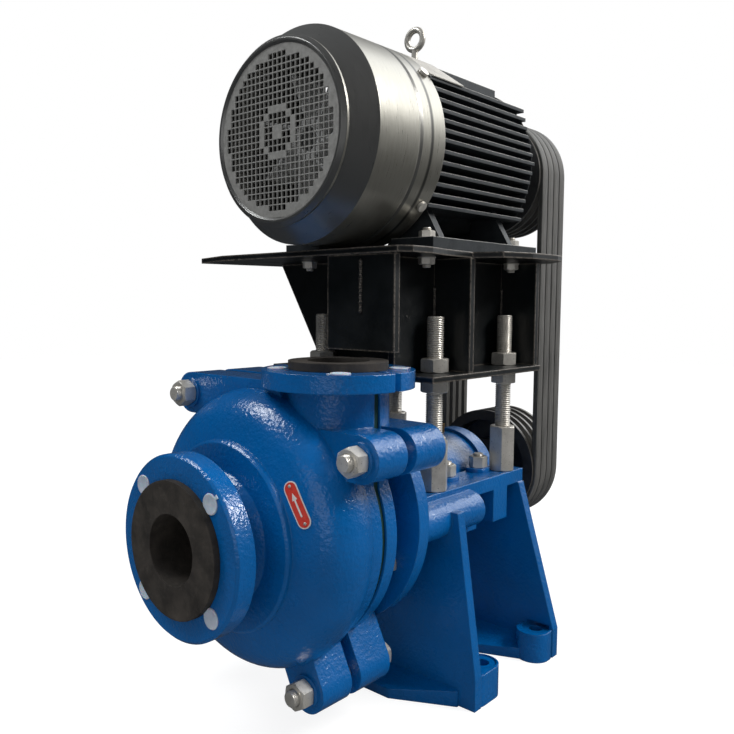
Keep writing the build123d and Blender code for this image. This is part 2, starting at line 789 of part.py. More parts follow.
with BuildPart() as pedestal:
    with BuildSketch(across(pedestal_disc_back, shaft_height)):
        Circle(pedestal_disc_radius)
    extrude(amount=pedestal_disc_thickness)
    with BuildSketch(across(cradle_rear_y)):
        with BuildLine():
            Polyline(
                (-rail_outer, rail_top), (rail_outer, rail_top), (rail_outer, leg_top),
                (cradle_outer, leg_top), (cradle_outer, shaft_height - cradle_bore / 2),
                (cradle_bore / 2, cradle_floor), (-cradle_bore / 2, cradle_floor),
                (-cradle_outer, shaft_height - cradle_bore / 2), (-cradle_outer, leg_top),
                (-rail_outer, leg_top), close=True,
            )
        make_face()
    extrude(amount=cradle_rear_y - pedestal_face - pedestal_disc_thickness / 2)
    add(leg_plate(front_leg_y + leg_thickness, front_leg_top))
    add(leg_plate(cradle_rear_y, rear_leg_top))
    with BuildSketch(across(pedestal_disc_back + lobe_length)):
        with Locations((-lobe_offset, lobe_height), (lobe_offset, lobe_height)):
            Circle(lobe_radius)
    extrude(amount=lobe_length + pedestal_disc_thickness / 2)
    with BuildSketch():
        with Locations((-leg_middle_x, front_foot_y), (leg_middle_x, front_foot_y)):
            RectangleRounded(foot_width, front_foot_span, foot_corner)
        with Locations((-leg_middle_x, rear_foot_y), (leg_middle_x, rear_foot_y)):
            RectangleRounded(foot_width, rear_foot_span, foot_corner)
    extrude(amount=foot_height)
    add(toe(front_leg_y, front_nose_start, front_nose_reach, front_nose_width))
    add(toe(cradle_rear_y - leg_thickness, rear_nose_start, rear_nose_reach, rear_nose_width))
    with BuildSketch(Plane.XY.offset(leg_top)):
        with Locations(*clamp_blocks):
            Rectangle(clamp_block_width, clamp_block_length)
    extrude(amount=-clamp_block_height)
    bore_plane = across(cradle_rear_y + overrun, shaft_height)
    bore_cut = cradle_rear_y - pedestal_face + 2 * overrun
    add(disc(bore_plane, cradle_bore, bore_cut), mode=Mode.SUBTRACT)
    for end, start in (
        (bearing_bore_front, pedestal_face - overrun), (cradle_rear_y + overrun, bearing_bore_back)
    ):
        add(disc(across(end, shaft_height), pedestal_disc_bore, end - start), mode=Mode.SUBTRACT)
    with BuildSketch(across(cradle_rear_y + overrun)):
        with Locations((0, shaft_height + cradle_bore / 2)):
            Rectangle(2 * cradle_bore, cradle_bore)
    extrude(amount=cradle_rear_y - pedestal_disc_back + overrun, mode=Mode.SUBTRACT)
    with BuildSketch(Plane.XY.offset(rail_top + overrun)):
        with Locations(*stud_places):
            Circle(stud_radius + seat_gap)
    extrude(amount=-rail_thickness - 2 * overrun, mode=Mode.SUBTRACT)
    with BuildSketch(Plane.XY.offset(rail_top + overrun)):
        with Locations(*clamp_places):
            Circle(clamp_bolt_radius + seat_gap)
    extrude(amount=-clamp_bolt_depth - overrun, mode=Mode.SUBTRACT)
    with BuildSketch(Plane.XY.offset(-overrun)):
        with Locations(*base_places):
            Circle(base_hole_radius)
    extrude(amount=foot_height + 2 * overrun, mode=Mode.SUBTRACT)
    with BuildSketch(Plane.XY.offset(foot_height - spot_face_depth)):
        with Locations(*base_places):
            Circle(spot_face_radius)
    extrude(amount=spot_face_depth + overrun, mode=Mode.SUBTRACT)
    stud_plane = across(pedestal_disc_back + overrun, shaft_height)
    disc_cut = pedestal_disc_thickness + 2 * overrun
    add(rods(stud_plane, frame_stud_places, frame_stud_radius + seat_gap, disc_cut).part, mode=Mode.SUBTRACT)
pedestal.part.label = "pedestal"
export_step(pedestal.part, "parts/pedestal.step")

# Studs that hold the frame plate to the pedestal disc
frame_nut_flats = 24
frame_nut_height = 13
frame_stud_end = 4
frame_stud_back = pedestal_disc_back + frame_nut_height + frame_stud_end
frame_studs = rods(
    across(frame_stud_back, shaft_height), frame_stud_places, frame_stud_radius,
    frame_stud_back - frame_stud_front
)
frame_studs.part.label = "frame_studs"
export_step(frame_studs.part, "parts/frame_studs.step")

with BuildPart() as frame_nuts:
    for back in (pedestal_face, pedestal_disc_back + frame_nut_height):
        nut_plane = across(back, shaft_height)
        add(
            nuts(
                nut_plane, frame_stud_places, frame_nut_flats, frame_stud_radius + seat_gap, frame_nut_height
            ).part
        )
frame_nuts.part.label = "frame_nuts"
export_step(frame_nuts.part, "parts/frame_nuts.step")

# Bearing cartridge
housing_radius = 70
housing_front = -125
housing_back = 70
housing_cavity = 58
bearing_outer_radius = 50
bearing_ring_wall = 5
roller_radius = 5.5
roller_count = 11
cover_radius = 75
cover_thickness = 26
cover_bore = 45
cover_recess = 4
labyrinth_length = 18
cover_screw_circle = 128
cover_screw_radius = 4
cover_screw_head = 7
cover_screw_count = 6
with BuildPart() as bearing_housing:
    add(
        turned(
            shaft_height,
            (housing_front, bearing_outer_radius + seat_gap),
            (front_journal + journal_length, bearing_outer_radius + seat_gap),
            (front_journal + journal_length + cover_recess, housing_cavity),
            (rear_journal - cover_recess, housing_cavity), (rear_journal, bearing_outer_radius + seat_gap),
            (housing_back, bearing_outer_radius + seat_gap), (housing_back, housing_radius),
            (housing_front, housing_radius),
        ).part
    )
bearing_housing.part.label = "bearing_housing"
export_step(bearing_housing.part, "parts/bearing_housing.step")

# Rolling bearings of the pump shaft: fixed outer rings, turning inner rings and rollers
bearing_places = [front_journal, rear_journal]


def bearing_ring(height, front, length, inner, outer):
    """One race of a bearing as a part."""
    return ring(height, front, front + length, inner, outer).part


def roller_set(height, front, length, circle_radius, radius, count):
    """Rollers standing round a shaft."""
    with BuildPart() as rollers:
        with BuildSketch(across(front + length, height)):
            with PolarLocations(circle_radius, count):
                Circle(radius)
        extrude(amount=length)
    return rollers.part


inner_race_radius = journal_radius + bearing_ring_wall + seat_gap
outer_race_radius = bearing_outer_radius - bearing_ring_wall
roller_circle = (inner_race_radius + outer_race_radius) / 2
with BuildPart() as pump_outer_races:
    for front in bearing_places:
        add(bearing_ring(shaft_height, front, journal_length, outer_race_radius, bearing_outer_radius))
pump_outer_races.part.label = "pump_outer_races"
export_step(pump_outer_races.part, "parts/pump_outer_races.step")

with BuildPart() as pump_inner_races:
    for front in bearing_places:
        add(bearing_ring(shaft_height, front, journal_length, journal_radius + seat_gap, inner_race_radius))
pump_inner_races.part.label = "pump_inner_races"
export_step(pump_inner_races.part, "parts/pump_inner_races.step")

with BuildPart() as pump_rollers:
    for front in bearing_places:
        roller_length = journal_length - 2 * run_gap
        add(
            roller_set(
                shaft_height, front + run_gap, roller_length, roller_circle, roller_radius, roller_count
            )
        )
pump_rollers.part.label = "pump_rollers"
export_step(pump_rollers.part, "parts/pump_rollers.step")


def cover_screw_places():
    """Places of the end cover screws, from the shaft."""
    step = 360 / cover_screw_count
    angles = [radians(step / 2 + step * place) for place in range(cover_screw_count)]
    return [(cover_screw_circle / 2 * cos(angle), cover_screw_circle / 2 * sin(angle)) for angle in angles]


front_cover_face = housing_front - cover_thickness + cover_recess
rear_cover_face = housing_back + cover_thickness + cover_recess
with BuildPart() as front_end_cover:
    add(
        turned(
            shaft_height,
            (front_cover_face + cover_recess, cover_bore), (front_journal - run_gap, cover_bore),
            (front_journal - run_gap, bearing_outer_radius), (housing_front, bearing_outer_radius),
            (housing_front, cover_radius), (front_cover_face + cover_recess, cover_radius),
            (front_cover_face, cover_radius - cover_recess), (front_cover_face, cover_bore),
        ).part
    )
    screw_plane = across(housing_front + overrun, shaft_height)
    add(
        rods(
            screw_plane, cover_screw_places(), cover_screw_radius + seat_gap, cover_thickness + 2 * overrun
        ).part,
        mode=Mode.SUBTRACT,
    )
front_end_cover.part.label = "front_end_cover"
export_step(front_end_cover.part, "parts/front_end_cover.step")

with BuildPart() as rear_end_cover:
    add(
        turned(
            shaft_height,
            (housing_back, bearing_outer_radius),
            (rear_journal + journal_length + run_gap, bearing_outer_radius),
            (rear_journal + journal_length + run_gap, cover_bore), (rear_cover_face, cover_bore),
            (rear_cover_face, cover_radius - cover_recess), (rear_cover_face - cover_recess, cover_radius),
            (housing_back, cover_radius),
        ).part
    )
    screw_plane = across(rear_cover_face + overrun, shaft_height)
    add(
        rods(
            screw_plane, cover_screw_places(), cover_screw_radius + seat_gap, cover_thickness + 2 * overrun
        ).part,
        mode=Mode.SUBTRACT,
    )
rear_end_cover.part.label = "rear_end_cover"
export_step(rear_end_cover.part, "parts/rear_end_cover.step")

with BuildPart() as end_cover_screws:
    for face, inward in ((front_cover_face, 1), (rear_cover_face, -1)):
        head_back = face if inward > 0 else face + cover_screw_head / 2
        add(
            nuts(
                across(head_back, shaft_height), cover_screw_places(),
                3 * cover_screw_radius, seat_gap, cover_screw_head / 2,
            ).part
        )
        shank_back = face + cover_thickness - cover_recess - seat_gap if inward > 0 else face
        add(
            rods(
                across(shank_back, shaft_height), cover_screw_places(),
                cover_screw_radius, cover_thickness - cover_recess - seat_gap,
            ).part
        )
end_cover_screws.part.label = "end_cover_screws"
export_step(end_cover_screws.part, "parts/end_cover_screws.step")

# Labyrinth rings turn with the shaft inside the end covers
with BuildPart() as labyrinth_rings:
    for front in (front_journal - run_gap - labyrinth_length, rear_journal + journal_length + 2 * run_gap):
        add(
            bearing_ring(
                shaft_height, front, labyrinth_length, collar_radius + seat_gap, cover_bore - run_gap
            )
        )
labyrinth_rings.part.label = "labyrinth_rings"
export_step(labyrinth_rings.part, "parts/labyrinth_rings.step")

# Grease plug and nipple on top of the cartridge
grease_places = [(0, 40), (0, 56)]
grease_plug_flats = 12
grease_plug_height = 9
grease_nipple_radius = 4
grease_nipple_height = 14
with BuildPart() as grease_fittings:
    add(
        nuts(
            Plane.XY.offset(shaft_height + housing_radius), grease_places[:1], grease_plug_flats,
            seat_gap, grease_plug_height,
        ).part
    )
    add(
        rods(
            Plane.XY.offset(shaft_height + housing_radius), grease_places[1:], grease_nipple_radius,
            grease_nipple_height,
        ).part
    )
grease_fittings.part.label = "grease_fittings"
export_step(grease_fittings.part, "parts/grease_fittings.step")

# Clamps that hold the cartridge down on its cradle
clamp_washer_length = 40
clamp_washer_width = 32
clamp_washer_thickness = 6
clamp_nut_flats = 24
clamp_nut_height = 17
clamp_bolt_end = 4
with BuildPart() as clamp_washers:
    with BuildSketch(Plane.XY.offset(rail_top)):
        with Locations(*clamp_places):
            SlotOverall(clamp_washer_length, clamp_washer_width, rotation=90)
            Circle(clamp_bolt_radius + seat_gap, mode=Mode.SUBTRACT)
    extrude(amount=clamp_washer_thickness)
clamp_washers.part.label = "clamp_washers"
export_step(clamp_washers.part, "parts/clamp_washers.step")

clamp_bolt_top = rail_top + clamp_washer_thickness + clamp_nut_height + clamp_bolt_end
clamp_bolts = rods(
    Plane.XY.offset(rail_top - clamp_bolt_depth), clamp_places, clamp_bolt_radius,
    clamp_bolt_top - rail_top + clamp_bolt_depth,
)
clamp_bolts.part.label = "clamp_bolts"
export_step(clamp_bolts.part, "parts/clamp_bolts.step")

clamp_nuts = nuts(
    Plane.XY.offset(rail_top + clamp_washer_thickness), clamp_places, clamp_nut_flats,
    clamp_bolt_radius + seat_gap, clamp_nut_height,
)
clamp_nuts.part.label = "clamp_nuts"
export_step(clamp_nuts.part, "parts/clamp_nuts.step")

# Studs that carry the motor mount above the cradle
coupling_flats = 36
coupling_height = 68
stud_rise = 83
stud_nut_height = 19
nut_turn = 30
mount_plate_thickness = 8
stud_top = mount_floor + stud_rise
coupling_nuts = nuts(
    Plane.XY.offset(rail_top), stud_places, coupling_flats, stud_radius + seat_gap, coupling_height, nut_turn
)
coupling_nuts.part.label = "coupling_nuts"
export_step(coupling_nuts.part, "parts/coupling_nuts.step")

mount_studs = rods(Plane.XY.offset(leg_top), stud_places, stud_radius, stud_top - leg_top)
mount_studs.part.label = "mount_studs"
export_step(mount_studs.part, "parts/mount_studs.step")

lower_nuts = nuts(
    Plane.XY.offset(mount_floor - stud_nut_height), stud_places, coupling_flats, stud_radius + seat_gap,
    stud_nut_height, nut_turn,
)
lower_nuts.part.label = "lower_nuts"
export_step(lower_nuts.part, "parts/lower_nuts.step")

mount_hole_gap = 1
upper_nuts = nuts(
    Plane.XY.offset(mount_floor + mount_plate_thickness), stud_places, coupling_flats, stud_radius + run_gap,
    stud_nut_height, nut_turn,
)
upper_nuts.part.label = "upper_nuts"
export_step(upper_nuts.part, "parts/upper_nuts.step")

# Motor mount, welded from plate
mount_half_width = 148
mount_front = -174
mount_back = 100
top_plate_left = 300
top_plate_right = 200
top_plate_front = 245
top_plate_back = 118
foot_bolt_inset = 27
foot_bolt_offset = cowl_radius - foot_bolt_inset
front_foot_bolt_y = -137
rear_foot_bolt_y = 76
foot_bolt_radius = 6
web_offset = 85
web_thickness = 10
front_rib_y = -235
front_rib_left = 23
front_rib_right = 134
front_rib_clear = 9
middle_rib_y = -77
rear_rib_y = 98
wing_top = 224
wing_bottom = 40
rib_inset = 4
rib_height = mount_height - 2 * mount_plate_thickness
foot_bolt_places = [(x, y) for y in (front_foot_bolt_y, rear_foot_bolt_y)
                    for x in (-foot_bolt_offset, foot_bolt_offset)]
rib_floor = mount_floor + mount_plate_thickness
rib_top = rib_floor + rib_height
front_rib_floor = discharge_top + discharge_ring_height + front_rib_clear

with BuildPart() as mount_bottom_plate:
    with BuildSketch(Plane.XY.offset(mount_floor)):
        with Locations((0, (mount_front + mount_back) / 2)):
            Rectangle(2 * mount_half_width, mount_back - mount_front)
        with Locations(*stud_places):
            Circle(stud_radius + mount_hole_gap, mode=Mode.SUBTRACT)
    extrude(amount=mount_plate_thickness)
mount_bottom_plate.part.label = "mount_bottom_plate"
export_step(mount_bottom_plate.part, "parts/mount_bottom_plate.step")

# Top plate: cut by hand with a torch, waisted on the right and wider behind the waist
top_plate_shares = [
    (-1, -0.78), (-0.69, -0.91), (0.73, -1), (0.79, -0.94), (0.79, -0.78), (0.74, -0.6), (0.71, -0.33),
    (0.91, -0.28), (0.99, -0.08), (1, 0.4), (0.97, 0.6), (0.76, 1), (-0.83, 1),
]
top_plate_outline = [
    (x * (top_plate_right if x > 0 else top_plate_left), y * (top_plate_back if y > 0 else top_plate_front))
    for x, y in top_plate_shares
]
with BuildPart() as mount_top_plate:
    with BuildSketch(Plane.XY.offset(top_plate_z - mount_plate_thickness)):
        with BuildLine():
            Polyline(*top_plate_outline, close=True)
        make_face()
        with Locations(*foot_bolt_places):
            Circle(foot_bolt_radius + seat_gap, mode=Mode.SUBTRACT)
    extrude(amount=mount_plate_thickness)
mount_top_plate.part.label = "mount_top_plate"
export_step(mount_top_plate.part, "parts/mount_top_plate.step")

with BuildPart() as mount_ribs:
    with BuildSketch(across(front_rib_y + web_thickness, (front_rib_floor + rib_top) / 2)):
        with Locations(((front_rib_left + front_rib_right) / 2, 0)):
            Rectangle(front_rib_right - front_rib_left, rib_top - front_rib_floor)
    extrude(amount=web_thickness)
    with BuildSketch(across(middle_rib_y)):
        with BuildLine():
            Polyline(
                (mount_half_width - rib_inset, rib_floor), (mount_half_width - rib_inset, rib_top),
                (-wing_top, rib_top),
                (-mount_half_width + rib_inset, rib_floor + wing_bottom / 2),
                (-mount_half_width + rib_inset, rib_floor), close=True,
            )
        make_face()
    extrude(amount=web_thickness)
    with BuildSketch(across(rear_rib_y, (rib_floor + rib_top) / 2)):
        Rectangle(2 * (mount_half_width - rib_inset), rib_height)
    extrude(amount=web_thickness)
mount_ribs.part.label = "mount_ribs"
export_step(mount_ribs.part, "parts/mount_ribs.step")

# Lengthwise webs: the long one on the right steps up over the discharge
right_web_plane = Plane(origin=(web_offset, 0, 0), x_dir=(0, 1, 0), z_dir=(1, 0, 0))
left_web_plane = Plane(origin=(web_thickness - web_offset, 0, 0), x_dir=(0, 1, 0), z_dir=(1, 0, 0))
with BuildPart() as mount_webs:
    with BuildSketch(right_web_plane):
        with BuildLine():
            Polyline(
                (front_rib_y + web_thickness, rib_top), (front_rib_y + web_thickness, front_rib_floor),
                (mount_front, front_rib_floor), (mount_front, rib_floor),
                (middle_rib_y - web_thickness, rib_floor),
                (middle_rib_y - web_thickness, rib_top), close=True,
            )
        make_face()
    extrude(amount=-web_thickness)
    for web_plane in (right_web_plane, left_web_plane):
        with BuildSketch(web_plane):
            with Locations(((middle_rib_y + rear_rib_y - web_thickness) / 2, (rib_floor + rib_top) / 2)):
                Rectangle(rear_rib_y - web_thickness - middle_rib_y, rib_height)
        extrude(amount=-web_thickness)
mount_webs.part.label = "mount_webs"
export_step(mount_webs.part, "parts/mount_webs.step")

# Motor frame: finned barrel with its feet
frame_core_radius = 100
frame_bore_radius = 88
motor_frame_front = -137
motor_frame_back = 100
fin_thickness = 5
side_fin_count = 13
side_fin_pitch = 13.5
side_fin_tip = 130
top_fin_count = 9
top_fin_pitch = 14
top_fin_tip = 134
foot_inner = 66
foot_outer = cowl_radius
foot_front = -160
foot_back = 102
foot_thickness = 16
foot_rib_thickness = 12
foot_rib_reach = 60
foot_rib_clear = 14
lifting_boss_radius = 16
terminal_length = 120
terminal_height = 100
terminal_y = -20
terminal_z = 30
terminal_pad_inset = 10
lifting_boss_y = -28
with BuildPart() as motor_frame:
    with BuildSketch(across(motor_frame_back, motor_centre_height)):
        Circle(frame_core_radius)
        for place in range(side_fin_count):
            fin_height = (place - (side_fin_count - 1) / 2) * side_fin_pitch
            reach = side_fin_tip - abs(fin_height) / 4
            with Locations((0, fin_height)):
                Rectangle(2 * reach, fin_thickness)
        for place in range(top_fin_count):
            fin_place = (place - (top_fin_count - 1) / 2) * top_fin_pitch
            reach = top_fin_tip - abs(fin_place) / 4
            with Locations((fin_place, reach / 2)):
                Rectangle(fin_thickness, reach)
        Circle(frame_bore_radius, mode=Mode.SUBTRACT)
    extrude(amount=motor_frame_back - motor_frame_front)
    for side in (-1, 1):
        with BuildSketch(Plane.XY.offset(top_plate_z)):
            with Locations((side * (foot_inner + foot_outer) / 2, (foot_front + foot_back) / 2)):
                Rectangle(foot_outer - foot_inner, foot_back - foot_front)
        extrude(amount=foot_thickness)
        for rib_back in (
            front_foot_bolt_y + foot_rib_clear + foot_rib_thickness, rear_foot_bolt_y - foot_rib_clear
        ):
            with BuildSketch(across(rib_back)):
                with BuildLine():
                    Polyline(
                        (side * (foot_outer - foot_thickness), top_plate_z + foot_thickness),
                        (side * (foot_inner - foot_thickness), top_plate_z + foot_thickness),
                        (
                            side * (foot_inner - foot_thickness),
                            motor_centre_height - frame_core_radius + foot_rib_thickness,
                        ),
                        (side * (foot_inner + foot_thickness), motor_centre_height - foot_rib_reach),
                        close=True,
                    )
                make_face()
            extrude(amount=foot_rib_thickness)
    pad_plane = Plane(
        origin=(-side_fin_tip, terminal_y, motor_centre_height + terminal_z), x_dir=(0, -1, 0),
        z_dir=(1, 0, 0)
    )
    with BuildSketch(pad_plane):
        Rectangle(terminal_length - 2 * terminal_pad_inset, terminal_height - 2 * terminal_pad_inset)
    extrude(amount=side_fin_tip - frame_bore_radius - fin_thickness)
    with BuildSketch(Plane.XY.offset(motor_centre_height + frame_bore_radius + fin_thickness)):
        with Locations((0, lifting_boss_y)):
            Circle(lifting_boss_radius)
    extrude(amount=top_fin_tip + fin_thickness - frame_bore_radius - fin_thickness)
    with BuildSketch(Plane.XY.offset(top_plate_z - overrun)):
        with Locations(*foot_bolt_places):
            Circle(foot_bolt_radius + seat_gap)
    extrude(amount=foot_thickness + 2 * overrun, mode=Mode.SUBTRACT)
motor_frame.part.label = "motor_frame"
export_step(motor_frame.part, "parts/motor_frame.step")

# Eyebolt for lifting
eye_radius = 14
eye_wire = 4.5
eye_rise = 43
eye_base_height = 6
eye_height = motor_centre_height + top_fin_tip + eye_rise
eye_base = motor_centre_height + top_fin_tip + fin_thickness
with BuildPart() as eyebolt:
    with BuildSketch(Plane.XY.offset(eye_base)):
        with Locations((0, lifting_boss_y)):
            Circle(lifting_boss_radius - fin_thickness)
    extrude(amount=eye_base_height)
    with BuildSketch(Plane.XY.offset(eye_base)):
        with Locations((0, lifting_boss_y)):
            Circle(eye_wire + seat_gap)
    extrude(amount=eye_height - eye_radius - eye_base)
    with Locations((0, lifting_boss_y, eye_height)):
        Torus(eye_radius, eye_wire, rotation=(90, 0, 0))
eyebolt.part.label = "eyebolt"
export_step(eyebolt.part, "parts/eyebolt.step")

# Bolts that hold the motor feet to the top plate
foot_nut_flats = 19
foot_nut_height = 10
foot_bolt_end = 4
foot_top = top_plate_z + foot_thickness
foot_nut_levels = [top_plate_z - mount_plate_thickness - foot_nut_height, foot_top]
foot_bolt_bottom = foot_nut_levels[0] - foot_bolt_end
foot_bolts = rods(
    Plane.XY.offset(foot_bolt_bottom), foot_bolt_places, foot_bolt_radius,
    foot_top + foot_nut_height + foot_bolt_end - foot_bolt_bottom,
)
foot_bolts.part.label = "foot_bolts"
export_step(foot_bolts.part, "parts/foot_bolts.step")

with BuildPart() as foot_nuts:
    for level in foot_nut_levels:
        level_plane = Plane.XY.offset(level)
        add(
            nuts(
                level_plane, foot_bolt_places, foot_nut_flats, foot_bolt_radius + seat_gap, foot_nut_height
            ).part
        )
foot_nuts.part.label = "foot_nuts"
export_step(foot_nuts.part, "parts/foot_nuts.step")

# Motor end shields
shield_radius = 128
shield_thickness = 12
shield_depth = 34
fan_shield_radius = 104
motor_bearing_outer = 40
motor_bearing_length = 23
motor_journal_radius = 20
motor_shaft_radius = 19
motor_shaft_gap = 2
drive_shield_back = motor_frame_back + shield_depth
fan_shield_front = motor_frame_front - shield_depth
with BuildPart() as drive_end_shield:
    with BuildSketch(along(motor_centre_height)):
        with BuildLine():
            Polyline(
                (drive_shield_back - shield_depth, shield_radius - flange_edge),
                (drive_shield_back - shield_depth, frame_bore_radius),
                (drive_shield_back - shield_thickness, frame_bore_radius - shield_thickness),
                (drive_shield_back - shield_thickness, motor_bearing_outer + shield_thickness),
                (
                    drive_shield_back - motor_bearing_length - flange_edge,
                    motor_bearing_outer + shield_thickness,
                ),
                (drive_shield_back - motor_bearing_length - flange_edge, motor_bearing_outer + seat_gap),
                (drive_shield_back - flange_edge, motor_bearing_outer + seat_gap),
                (drive_shield_back - flange_edge, motor_shaft_radius + motor_shaft_gap),
                (drive_shield_back + flange_edge, motor_shaft_radius + motor_shaft_gap),
                (drive_shield_back + flange_edge, motor_bearing_outer + 2 * flange_edge),
                (drive_shield_back, motor_bearing_outer + shield_thickness),
            )
            ThreePointArc(
                (drive_shield_back, motor_bearing_outer + shield_thickness),
                (drive_shield_back - shield_thickness / 2, frame_bore_radius + shield_thickness),
                (drive_shield_back - shield_depth, shield_radius - flange_edge),
            )
        make_face()
    revolve(axis=shaft_line(motor_centre_height))
drive_end_shield.part.label = "drive_end_shield"
export_step(drive_end_shield.part, "parts/drive_end_shield.step")

fan_end_shield = turned(
    motor_centre_height,
    (motor_frame_front, fan_shield_radius), (motor_frame_front, frame_bore_radius),
    (fan_shield_front + shield_thickness, motor_bearing_outer + shield_thickness),
    (fan_shield_front + shield_thickness + motor_bearing_length, motor_bearing_outer + shield_thickness),
    (fan_shield_front + shield_thickness + motor_bearing_length, motor_bearing_outer + seat_gap),
    (fan_shield_front + flange_edge, motor_bearing_outer + seat_gap),
    (fan_shield_front + flange_edge, motor_journal_radius + motor_shaft_gap),
    (fan_shield_front, motor_journal_radius + motor_shaft_gap),
    (fan_shield_front, motor_bearing_outer + shield_thickness),
    (motor_frame_front - shield_thickness, fan_shield_radius),
)
fan_end_shield.part.label = "fan_end_shield"
export_step(fan_end_shield.part, "parts/fan_end_shield.step")

# Stator pack with the heads of its windings
stator_front = -80
stator_back = 50
stator_bore = 56
winding_length = 24
with BuildPart() as stator:
    add(ring(motor_centre_height, stator_front, stator_back, stator_bore, frame_bore_radius - seat_gap).part)
    for front in (stator_front - winding_length, stator_back):
        add(
            ring(
                motor_centre_height, front, front + winding_length, stator_bore + flange_edge,
                frame_bore_radius - shield_thickness,
            ).part
        )
stator.part.label = "stator"
export_step(stator.part, "parts/stator.step")

# Motor shaft with its rotor pack
rotor_gap = 0.6
fan_seat_radius = 15
motor_shaft_front = -248
fan_back = -196
fan_front = -252
motor_front_journal = fan_shield_front + flange_edge + run_gap
motor_rear_journal = drive_shield_back - flange_edge - run_gap - motor_bearing_length
pulley_width = 82
pulley_front = belt_plane - pulley_width / 2
pulley_back = belt_plane + pulley_width / 2
motor_shaft = turned(
    motor_centre_height,
    (motor_shaft_front, 0), (motor_shaft_front, fan_seat_radius), (motor_front_journal, fan_seat_radius),
    (motor_front_journal, motor_journal_radius),
    (motor_rear_journal + motor_bearing_length, motor_journal_radius),
    (motor_rear_journal + motor_bearing_length, motor_shaft_radius),
    (pulley_back + flange_edge, motor_shaft_radius),
    (pulley_back + flange_edge, 0),
)
motor_shaft.part.label = "motor_shaft"
export_step(motor_shaft.part, "parts/motor_shaft.step")

rotor_core = ring(
    motor_centre_height, stator_front, stator_back, motor_journal_radius + seat_gap, stator_bore - rotor_gap
)
rotor_core.part.label = "rotor_core"
export_step(rotor_core.part, "parts/rotor_core.step")

# Motor bearings
motor_race_wall = 4.5
motor_bearing_places = [motor_front_journal, motor_rear_journal]
motor_inner_race = motor_journal_radius + seat_gap + motor_race_wall
motor_outer_race = motor_bearing_outer - motor_race_wall
with BuildPart() as motor_outer_races:
    for front in motor_bearing_places:
        add(
            bearing_ring(
                motor_centre_height, front, motor_bearing_length, motor_outer_race, motor_bearing_outer
            )
        )
motor_outer_races.part.label = "motor_outer_races"
export_step(motor_outer_races.part, "parts/motor_outer_races.step")

with BuildPart() as motor_inner_races:
    for front in motor_bearing_places:
        inner_seat = motor_journal_radius + seat_gap
        add(bearing_ring(motor_centre_height, front, motor_bearing_length, inner_seat, motor_inner_race))
motor_inner_races.part.label = "motor_inner_races"
export_step(motor_inner_races.part, "parts/motor_inner_races.step")

# Cooling fan of the motor
fan_blade_count = 7
fan_hub_radius = 26
fan_tip_radius = 88
fan_blade_thickness = 4
fan_blade_lean = 12
fan_disc_radius = 60
with BuildPart() as fan:
    add(
        ring(
            motor_centre_height, fan_front + fan_blade_thickness, fan_back, fan_seat_radius + seat_gap,
            fan_hub_radius,
        ).part
    )
    add(
        ring(
            motor_centre_height, fan_back - fan_blade_thickness, fan_back,
            fan_hub_radius - fan_blade_thickness,
            fan_disc_radius,
        ).part
    )
    with BuildSketch(across(fan_back, motor_centre_height)):
        with PolarLocations(0, fan_blade_count):
            with Locations(((fan_hub_radius + fan_tip_radius) / 2 - fan_blade_thickness, 0)):
                Rectangle(
                    fan_tip_radius - fan_hub_radius + 2 * fan_blade_thickness, fan_blade_thickness,
                    rotation=fan_blade_lean,
                )
    extrude(amount=fan_back - fan_front)
fan.part.label = "fan"
export_step(fan.part, "parts/fan.step")

# Fan cowl: deep drawn sheet, a rim round the guard, a cone and a barrel
cowl_face_y = -304
cowl_rim_radius = 115
cowl_guard_radius = 102
cowl_cone_back = -265
cowl_wall = 3
cowl_lip = 5
cowl_bead = 2
cowl_groove_y = -187
cowl_groove_width = 4
cowl_groove_depth = 1.5
with BuildPart() as fan_cowl:
    with BuildSketch(along(motor_centre_height)):
        with BuildLine():
            Polyline(
                (cowl_face_y + cowl_lip, cowl_guard_radius), (cowl_face_y, cowl_guard_radius + cowl_lip),
                (cowl_face_y, cowl_rim_radius - cowl_lip), (cowl_face_y + cowl_lip, cowl_rim_radius),
                (cowl_face_y + 2 * cowl_lip - cowl_bead, cowl_rim_radius),
                (cowl_face_y + 2 * cowl_lip, cowl_rim_radius - cowl_bead),
                (cowl_cone_back, cowl_radius), (cowl_groove_y - cowl_groove_width, cowl_radius),
                (cowl_groove_y, cowl_radius - cowl_groove_depth),
                (cowl_groove_y + cowl_groove_width, cowl_radius),
                (motor_frame_front, cowl_radius), (motor_frame_front, cowl_radius - cowl_wall),
                (cowl_cone_back + cowl_wall, cowl_radius - cowl_wall),
                (cowl_face_y + cowl_lip + cowl_wall, cowl_rim_radius - 2 * cowl_wall),
                (cowl_face_y + cowl_lip + cowl_wall, cowl_guard_radius), close=True,
            )
        make_face()
    revolve(axis=shaft_line(motor_centre_height))
fan_cowl.part.label = "fan_cowl"
export_step(fan_cowl.part, "parts/fan_cowl.step")

# Guard: square openings, with a closed border one cell wide round the middle block
guard_pitch = 15.6
guard_opening = 12
guard_radius = 100
guard_thickness = 2.5
guard_cells = 6
guard_closed_ring = 2
guard_corner_share = 0.7
with BuildPart() as fan_guard:
    with BuildSketch(across(cowl_face_y + cowl_lip + cowl_wall, motor_centre_height)):
        Circle(cowl_guard_radius - seat_gap)
        for column in range(-guard_cells, guard_cells + 1):
            for row in range(-guard_cells, guard_cells + 1):
                reach = sqrt((column * guard_pitch) ** 2 + (row * guard_pitch) ** 2)
                ring_cell = max(abs(column), abs(row)) == guard_closed_ring
                if reach + guard_opening * guard_corner_share < guard_radius and not ring_cell:
                    with Locations((column * guard_pitch, row * guard_pitch)):
                        Rectangle(guard_opening, guard_opening, mode=Mode.SUBTRACT)
    extrude(amount=guard_thickness)
fan_guard.part.label = "fan_guard"
export_step(fan_guard.part, "parts/fan_guard.step")

